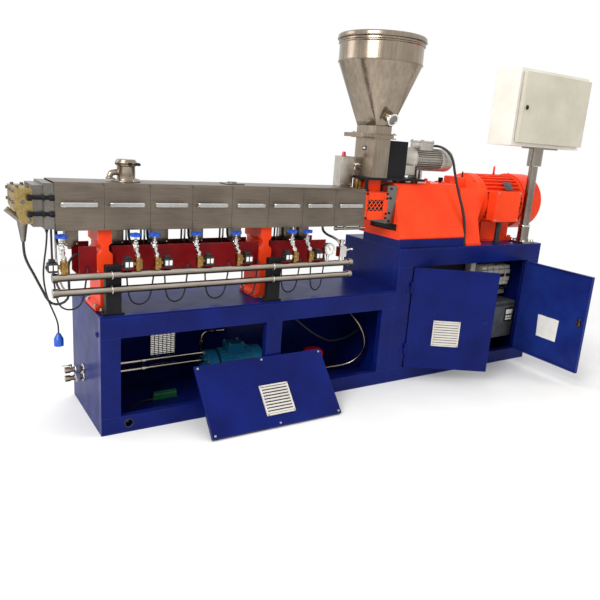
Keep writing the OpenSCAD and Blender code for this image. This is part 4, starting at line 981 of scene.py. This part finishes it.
stack.piece("vent_stack", hopper_steel, replaced=["vent_port"])
clamp = Forge().ring((VENT_X, AXIS_Y, 1284), UP, 50, 2.5, 48, 8).rod((230, 156, 1284), (230, 192, 1284), 4)
clamp.boxes(2, ((222, 164, 1277), (238, 182, 1291)), ((218, 150, 1280), (238, 157, 1288)),
            ((176, 145, 1278), (196, 152, 1292)))
clamp.piece("vent_clamp", black_enamel)
bolts("vent_bolts", around((VENT_X, AXIS_Y, 1207.5), 56, 8, UP, ALONG, (0, 1, 0)), 11, 6)
joints = [BARREL_X0 + ZONE_L * k for k in range(1, ZONES)]
strips = Forge().boxes(0.3, *(((x - 12, 84, 994), (x + 12, 85.5, 1192)) for x in joints))
strips.piece("cover_joint_strips", cable_pvc, slot="black_paint")
port = Forge().box((690, 150, COVER_TOP), (790, 250, COVER_TOP + 6), 2)
port.rod((740, 200, COVER_TOP), (740, 200, COVER_TOP + 12), 26, chamfer=2).piece("closed_port", bare_steel)

# %% [markdown]
# Behind the open doors the switchgear shows: a drive with a keypad, a row of breakers over it, wiring ducts, a rail
# of terminals and the wires between them. The breakers' levers and the terminals are grown from the rib tree.

# %% Switchgear
BREAKERS = [2973 - 62 * i for i in range(5)]
POLES = [x + 12 + 15 * j for x in BREAKERS for j in range(3)]
drive = Forge().box((2787, 86, 150), (3027, 260, 420), 6).box((2795, 79, 158), (3019, 92, 412), 5)
drive.box((2812, 76, 168), (2900, 82, 262), 3).piece("frequency_drive", grey_plastic, replaced=["inverter_drive"])
vents = grid(range(2812, 3002, 9), (84,), (398,), FRONT) + grid((3027,), range(110, 228, 9), (390,), ALONG)
ribs("drive_vents", vents, 12, 20, 4, cable_pvc, slot="black_paint")
Forge().box((2916, 73, 268), (3004, 81, 372), 4).piece("drive_keypad", coil_plastic)
screen = Forge().box((2926, 71.5, 326), (2994, 74, 360), 1)
screen.boxes(2, *(((x, 71, z), (x + 18, 74, z + 14)) for x in (2928, 2951, 2974) for z in (282, 301)))
screen.piece("keypad_blank_face", blank_white)
breakers = Forge()
for x in BREAKERS:
    breakers.box((x, 188, 520), (x + 54, 260, 670), 2).box((x + 1, 170, 552), (x + 53, 192, 638), 3)
    breakers.boxes(2, ((x + 4, 176, 524), (x + 50, 190, 548)), ((x + 4, 176, 642), (x + 50, 190, 666)))
breakers.piece("breaker_row", white_enamel)
ribs("breaker_levers", grid(POLES, (168,), (596,), FRONT), 12, 24, 8, coil_plastic)
ducts = Forge().boxes(2, ((2640, 205, 96), (2690, 260, 700)), ((2640, 205, 690), (3030, 260, 730)),
                      ((2700, 205, 446), (3030, 260, 486)))
ducts.piece("wiring_ducts", white_enamel)
slots = grid(range(2706, 3019, 12), (204.6,), (466,), FRONT) + grid(range(2646, 3019, 12), (204.6,), (710,), FRONT)
ribs("duct_slots", slots, 1.6, 26, 5, grey_plastic)
ribs("rail_terminals", grid(range(2420, 2605, 8), (236,), (470,), UP), 50, 42, 6.6, board_green)
rail = Forge().box((2400, 252, 455), (2625, 260, 490), 1).box((2400, 246, 452), (2625, 254, 458), 0.5)
rail.piece("terminal_rail", zinc)
wires = Forge()
for x in POLES:
    wires.tube(curve([(x, 182, 526), (x, 172, 508), (x, 182, 492), (x, 206, 478)], 4), 2.6, 8)
for x in (2830, 2852, 2874):
    wires.tube(curve([(x, 206, 460), (x, 150, 450), (x, 108, 440), (x, 100, 419)], 4), 4, 8)
for k in range(0, 24, 2):
    x = 2420 + 8 * k
    wires.tube(curve([(x, 232, 446), (x, 222, 420), (2470 + 5 * k, 232, 380), (2640, 236, 350 + 2 * k)], 4), 2.2, 6)
wires.piece("switchgear_wires", cable_pvc)

# %% [markdown]
# The right door stands open and shows its inside: a blank sheet of paper and the cam of the lock. Pieces of a door
# are laid out on the closed door and turned about its hinge to where it stands, and they ride on it.

# %% Doors and vents
LEFT_OPEN, RIGHT_OPEN = turned((1897, -10, 0), -32, "Z"), turned((2979, -10, 0), 87, "Z")
paper = Forge()
paper.sweep(curve([(2646, 2.8, 316), (2690, 3.4, 317), (2740, 2.9, 316), (2790, 3.8, 317), (2811, 3.0, 316)], 4),
            [(-0.4, -76), (0.4, -76), (0.4, 76), (-0.4, 76)])
paper.piece("blank_paper", blank_white, body="right_door", place=RIGHT_OPEN)
for side, x, place, finish in (("left", 2388, LEFT_OPEN, blue_enamel), ("right", 2488, RIGHT_OPEN, chrome)):
    cam = Forge().rod((x, 2, 414), (x, 20, 414), 15).hexagon((x, 16, 414), (x, 21.5, 414), 18)
    cam.box((x - 9, 17, 398), (x + 9, 20, 452), 2)
    cam.piece(side + "_lock_cam", brass, body=side + "_door", place=place)
    Forge().rod((x, -5, 414), (x, -7, 414), 13).rod((x, -6, 414), (x, -8, 414), 5).piece(
        side + "_lock_face", finish, body=side + "_door", place=place)
Forge().box((1880, 26, 88), (1950, 29, 792), 0.5).piece("hinge_side_strip", blue_enamel)
SLANT, PANEL_X, PANEL_H, PANEL_T, CLEAR = math.radians(42), 462, 385, 20, 0.3
panel_foot = at(PANEL_X, -PANEL_H * math.sin(SLANT) - PANEL_T * math.cos(SLANT) - CLEAR, PANEL_T * math.sin(SLANT))
LEANING = Matrix.Translation(panel_foot) @ Matrix.Rotation(-SLANT, 4, "X") @ Matrix.Translation(-at(0, 0, 0))
for name, x, z, body, place in (("door_vent_screws", 2058, 246, "left_door", LEFT_OPEN),
                                ("panel_vent_screws", 321, 60, "machine", LEANING)):
    bolts(name, grid((x + 6, x + 164), (-10,), (z + 5, z + 160), FRONT), 6, 2.5, body=body, place=place)
bolts("panel_screws", grid((16, 385, 754), (0,), (14, 371), FRONT), 9, 4, place=LEANING)

# %% [markdown]
# The two bays are open, so their contents show: a strip of green terminals on the floor with its cable, an elbowed
# pipe at the back, and on the right a valve with a red cap and two hoses. The hoses and the cable are free cords.
# The vent in the back wall has slats and bars.

# %% Bays
strip = Forge().box((358, 288, 6), (498, 312, 12), 1)
for x in range(362, 483, 12):
    strip.boxes(1.5, ((x, 284, 9), (x + 10.5, 316, 40)), ((x + 1, 291, 36), (x + 9.5, 309, 52)))
strip.piece("floor_terminals", board_green)
bolts("floor_terminal_screws", grid([367.2 + 12 * k for k in range(11)], (287.5, 312.5), (40,), UP), 5, 2)
lead("strip_cable", [(358, 300, 12), (330, 300, 12), (296, 294, 11), (252, 268, 11), (214, 224, 11), (186, 176, 12),
                     (164, 130, 18), (148, 92, 30), (139, 62, 42), (136, 40, 46), (135, 20, 46)], 36, 0.010)
Forge().ring((135, 0, 46), (0, 1, 0), 21, 3.4, 36, 10).piece("cable_grommet", cable_pvc)
elbow = Forge().tube(curve([
    (728, 500, 60), (728, 500, 150), (728, 500, 250), (731, 500, 280), (744, 500, 296), (768, 500, 300),
    (860, 500, 300), (878, 510, 300), (884, 530, 300), (884, 554, 300)], 5), 12, 14)
elbow.hexagon((728, 500, 225), (728, 500, 250), 34).hexagon((790, 500, 300), (815, 500, 300), 34)
elbow.rod((728, 500, 6), (728, 500, 66), 20).piece("elbowed_pipe", pipe_steel)
valve = Forge().lathe((1405, 300, 6), UP, [
    (0, 0), (60, 0), (60, 10), (34, 14), (30, 40), (42, 56), (44, 84), (34, 96), (34, 112), (0, 112)], 32)
valve.rod((1340, 300, 32), (1470, 300, 32), 17).hexagon((1336, 300, 32), (1362, 300, 32), 46)
valve.hexagon((1448, 300, 32), (1474, 300, 32), 46).piece("bay_valve", cast_alloy)
Forge().lathe((1405, 300, 116), UP, [
    (0, 66), (30, 65), (54, 58), (64, 44), (66, 30), (66, 6), (60, 0), (0, 0)], 40).piece("bay_red_cap", cap_red)
lead("bay_hose_1", [(1610, 554, 452), (1612, 500, 452), (1622, 430, 446), (1640, 360, 430), (1664, 290, 392),
                    (1694, 232, 336), (1722, 200, 262), (1732, 196, 190), (1716, 214, 120), (1670, 246, 66),
                    (1600, 280, 40), (1530, 298, 33), (1474, 300, 32)], 40, 0.020, finish=hopper_steel)
lead("bay_hose_2", [(1182, 554, 432), (1186, 500, 432), (1204, 420, 424), (1236, 345, 404), (1272, 308, 374),
                    (1339, 300, 319), (1435, 300, 256), (1532, 300, 215), (1651, 300, 222), (1740, 300, 258),
                    (1779, 300, 280)], 40, 0.016)
Forge().hexagon((1336, 300, 32), (1322, 300, 32), 30).rod((1324, 300, 32), (1312, 300, 32), 12).piece(
    "bay_valve_plug", zinc)
slats = grid((505,), (557,), [179 + 11.4 * k for k in range(11)], (0, 0.7, -0.7))
ribs("back_vent_slats", slats, 17, 1.5, 150, white_enamel)
ribs("back_vent_bars", grid(range(430, 581, 25), (556,), (236,), UP), 128, 4, 5, white_enamel)

# %% [markdown]
# The pump in the left bay gets its fins and the bolts of its lid. The stubs that come out of the end wall get nuts and
# a ball valve.

# %% Pump and drain stubs
PUMP_X, PUMP_Y, PUMP_Z = 665, 312, 168
fins = [spot for spot in around((PUMP_X + 180, PUMP_Y, PUMP_Z), 80, 24) if spot[1].z > -0.55]
ribs("pump_fins", fins, 14, 4, 190, teal_enamel)
lid = grid((PUMP_X + 140, PUMP_X + 220), (PUMP_Y - 36, PUMP_Y + 36), (286,), UP)
bolts("pump_bolts", around((PUMP_X, PUMP_Y, PUMP_Z), 68, 6, LEFT) + lid, 12, 6)
stubs = Forge()
for z in (192, 237):
    stubs.hexagon((-46, 326, z), (-22, 326, z), 38).hexagon((0, 326, z), (-7, 326, z), 44)
stubs.rod((-66, 326, 237), (-66, 326, 262), 7).box((-112, 318, 260), (-58, 334, 265), 2)
stubs.piece("drain_fittings", chrome)
Forge().lathe((0, 56, 500), LEFT, [(0, 9), (8, 8), (13, 4), (14, 0), (0, 0)]).piece("end_wall_cap", blue_enamel)

# %% [markdown]
# Last come the control box and the screws that hold posts and stands to the deck.

# %% Control box, posts and stands
Forge().rod((2666, -46, 1747.5), (2666, -48, 1747.5), 15).rod((2666, -47, 1747.5), (2666, -50, 1747.5), 9).piece(
    "control_box_lock", black_enamel, body="control_box_door")
Forge().ring((2960, 62, 976), UP, 36, 5, 40, 10).ring((2960, 62, 1388), UP, 44, 4, 40, 10).piece("post_rings", chrome)
bolts("control_post_bolts", grid((2914, 3006), (16, 108), (869,), UP), 19, 11, chrome)
feet = grid((29, 109, 883, 963), (78,), (610,), UP) + grid((14, 96, 868, 950), (130, 270), (618,), UP)
bolts("deck_bolts", feet, 15, 9)

# %% [markdown]
# The machine stands on a plain pale floor in soft light. The world is white to the camera and to reflections, and a
# little dimmer as light, so that paint renders about as it is written. A wide key lamp from the front left and weak
# ones from the right and above give the sheet metal its direction. Two lamps are mirrored in the steel, as the
# windows of a workshop are.

# %% Floor, world and lamps
ground = bmesh.new()
bmesh.ops.create_grid(ground, x_segments=1, y_segments=1, size=30)
sheet = bpy.data.meshes.new("pale_floor")
ground.to_mesh(sheet)
ground.free()
floor = show("pale_floor", sheet)
floor.location.z = -0.0005
floor_paint, tree, surface, place = start("pale_floor_paint", **{"Roughness": 0.9, "Specular IOR Level": 0.1})
coat_with(tree, surface, Base_Color=ramp(tree, noise(tree, place, 1 / 3, 2.0), (0.3, "#eeeeec"), (0.7, "#f3f3f1")))
far = add(tree, "ShaderNodeVectorMath", {0: place}, operation="LENGTH").outputs["Value"]
fade = remap(tree, far, (2.2, 4.6), (0, 1), interpolation_type="SMOOTHSTEP")
share = maths(tree, "MULTIPLY", fade, add(tree, "ShaderNodeLightPath").outputs["Is Camera Ray"])
haze = add(tree, "ShaderNodeEmission", {"Color": (1, 1, 1, 1), "Strength": 1.0}).outputs["Emission"]
blend = add(tree, "ShaderNodeMixShader", {0: share, 1: surface.outputs["BSDF"], 2: haze})
leave = next(node for node in tree.nodes if node.type == "OUTPUT_MATERIAL")
tree.links.new(blend.outputs["Shader"], leave.inputs["Surface"])
sheet.materials.append(floor_paint)

world = bpy.data.worlds.new("white_studio")
bpy.context.scene.world = world
world.use_nodes = True
tree = world.node_tree
tree.nodes.clear()
ray = add(tree, "ShaderNodeLightPath").outputs
seen = maths(tree, "MAXIMUM", ray["Is Camera Ray"], ray["Is Transmission Ray"])
strength = remap(tree, maths(tree, "MAXIMUM", seen, ray["Is Glossy Ray"]), (0, 1), (0.56, 1.0))
sky = add(tree, "ShaderNodeBackground", {"Color": (1, 1, 1, 1), "Strength": strength})
add(tree, "ShaderNodeOutputWorld", {"Surface": sky.outputs["Background"]})


def lamp(name, place, aim, size, watts, mirrored=False):
    light = bpy.data.lights.new(name, "AREA")
    light.size, light.energy = size, watts
    thing = show(name, light)
    thing.location = place
    thing.rotation_euler = (Vector(aim) - Vector(place)).to_track_quat("-Z", "Y").to_euler()
    thing.visible_glossy = mirrored


lamp("key_window", (-5.0, -2.8, 4.0), (0, 0, 0.8), 3.0, 300, True)
lamp("rear_window", (-4.7, 3.5, 2.9), (0.1, -0.1, 1.9), 2.4, 42, True)
lamp("right_fill", (4.0, -3.2, 3.0), (0.4, 0, 0.9), 2.5, 60)
lamp("top_skylight", (0.3, 0.6, 5.2), (0, 0, 0.8), 4.0, 150)
bpy.context.scene.view_settings.view_transform = "Standard"
print("floor, world and four lamps")
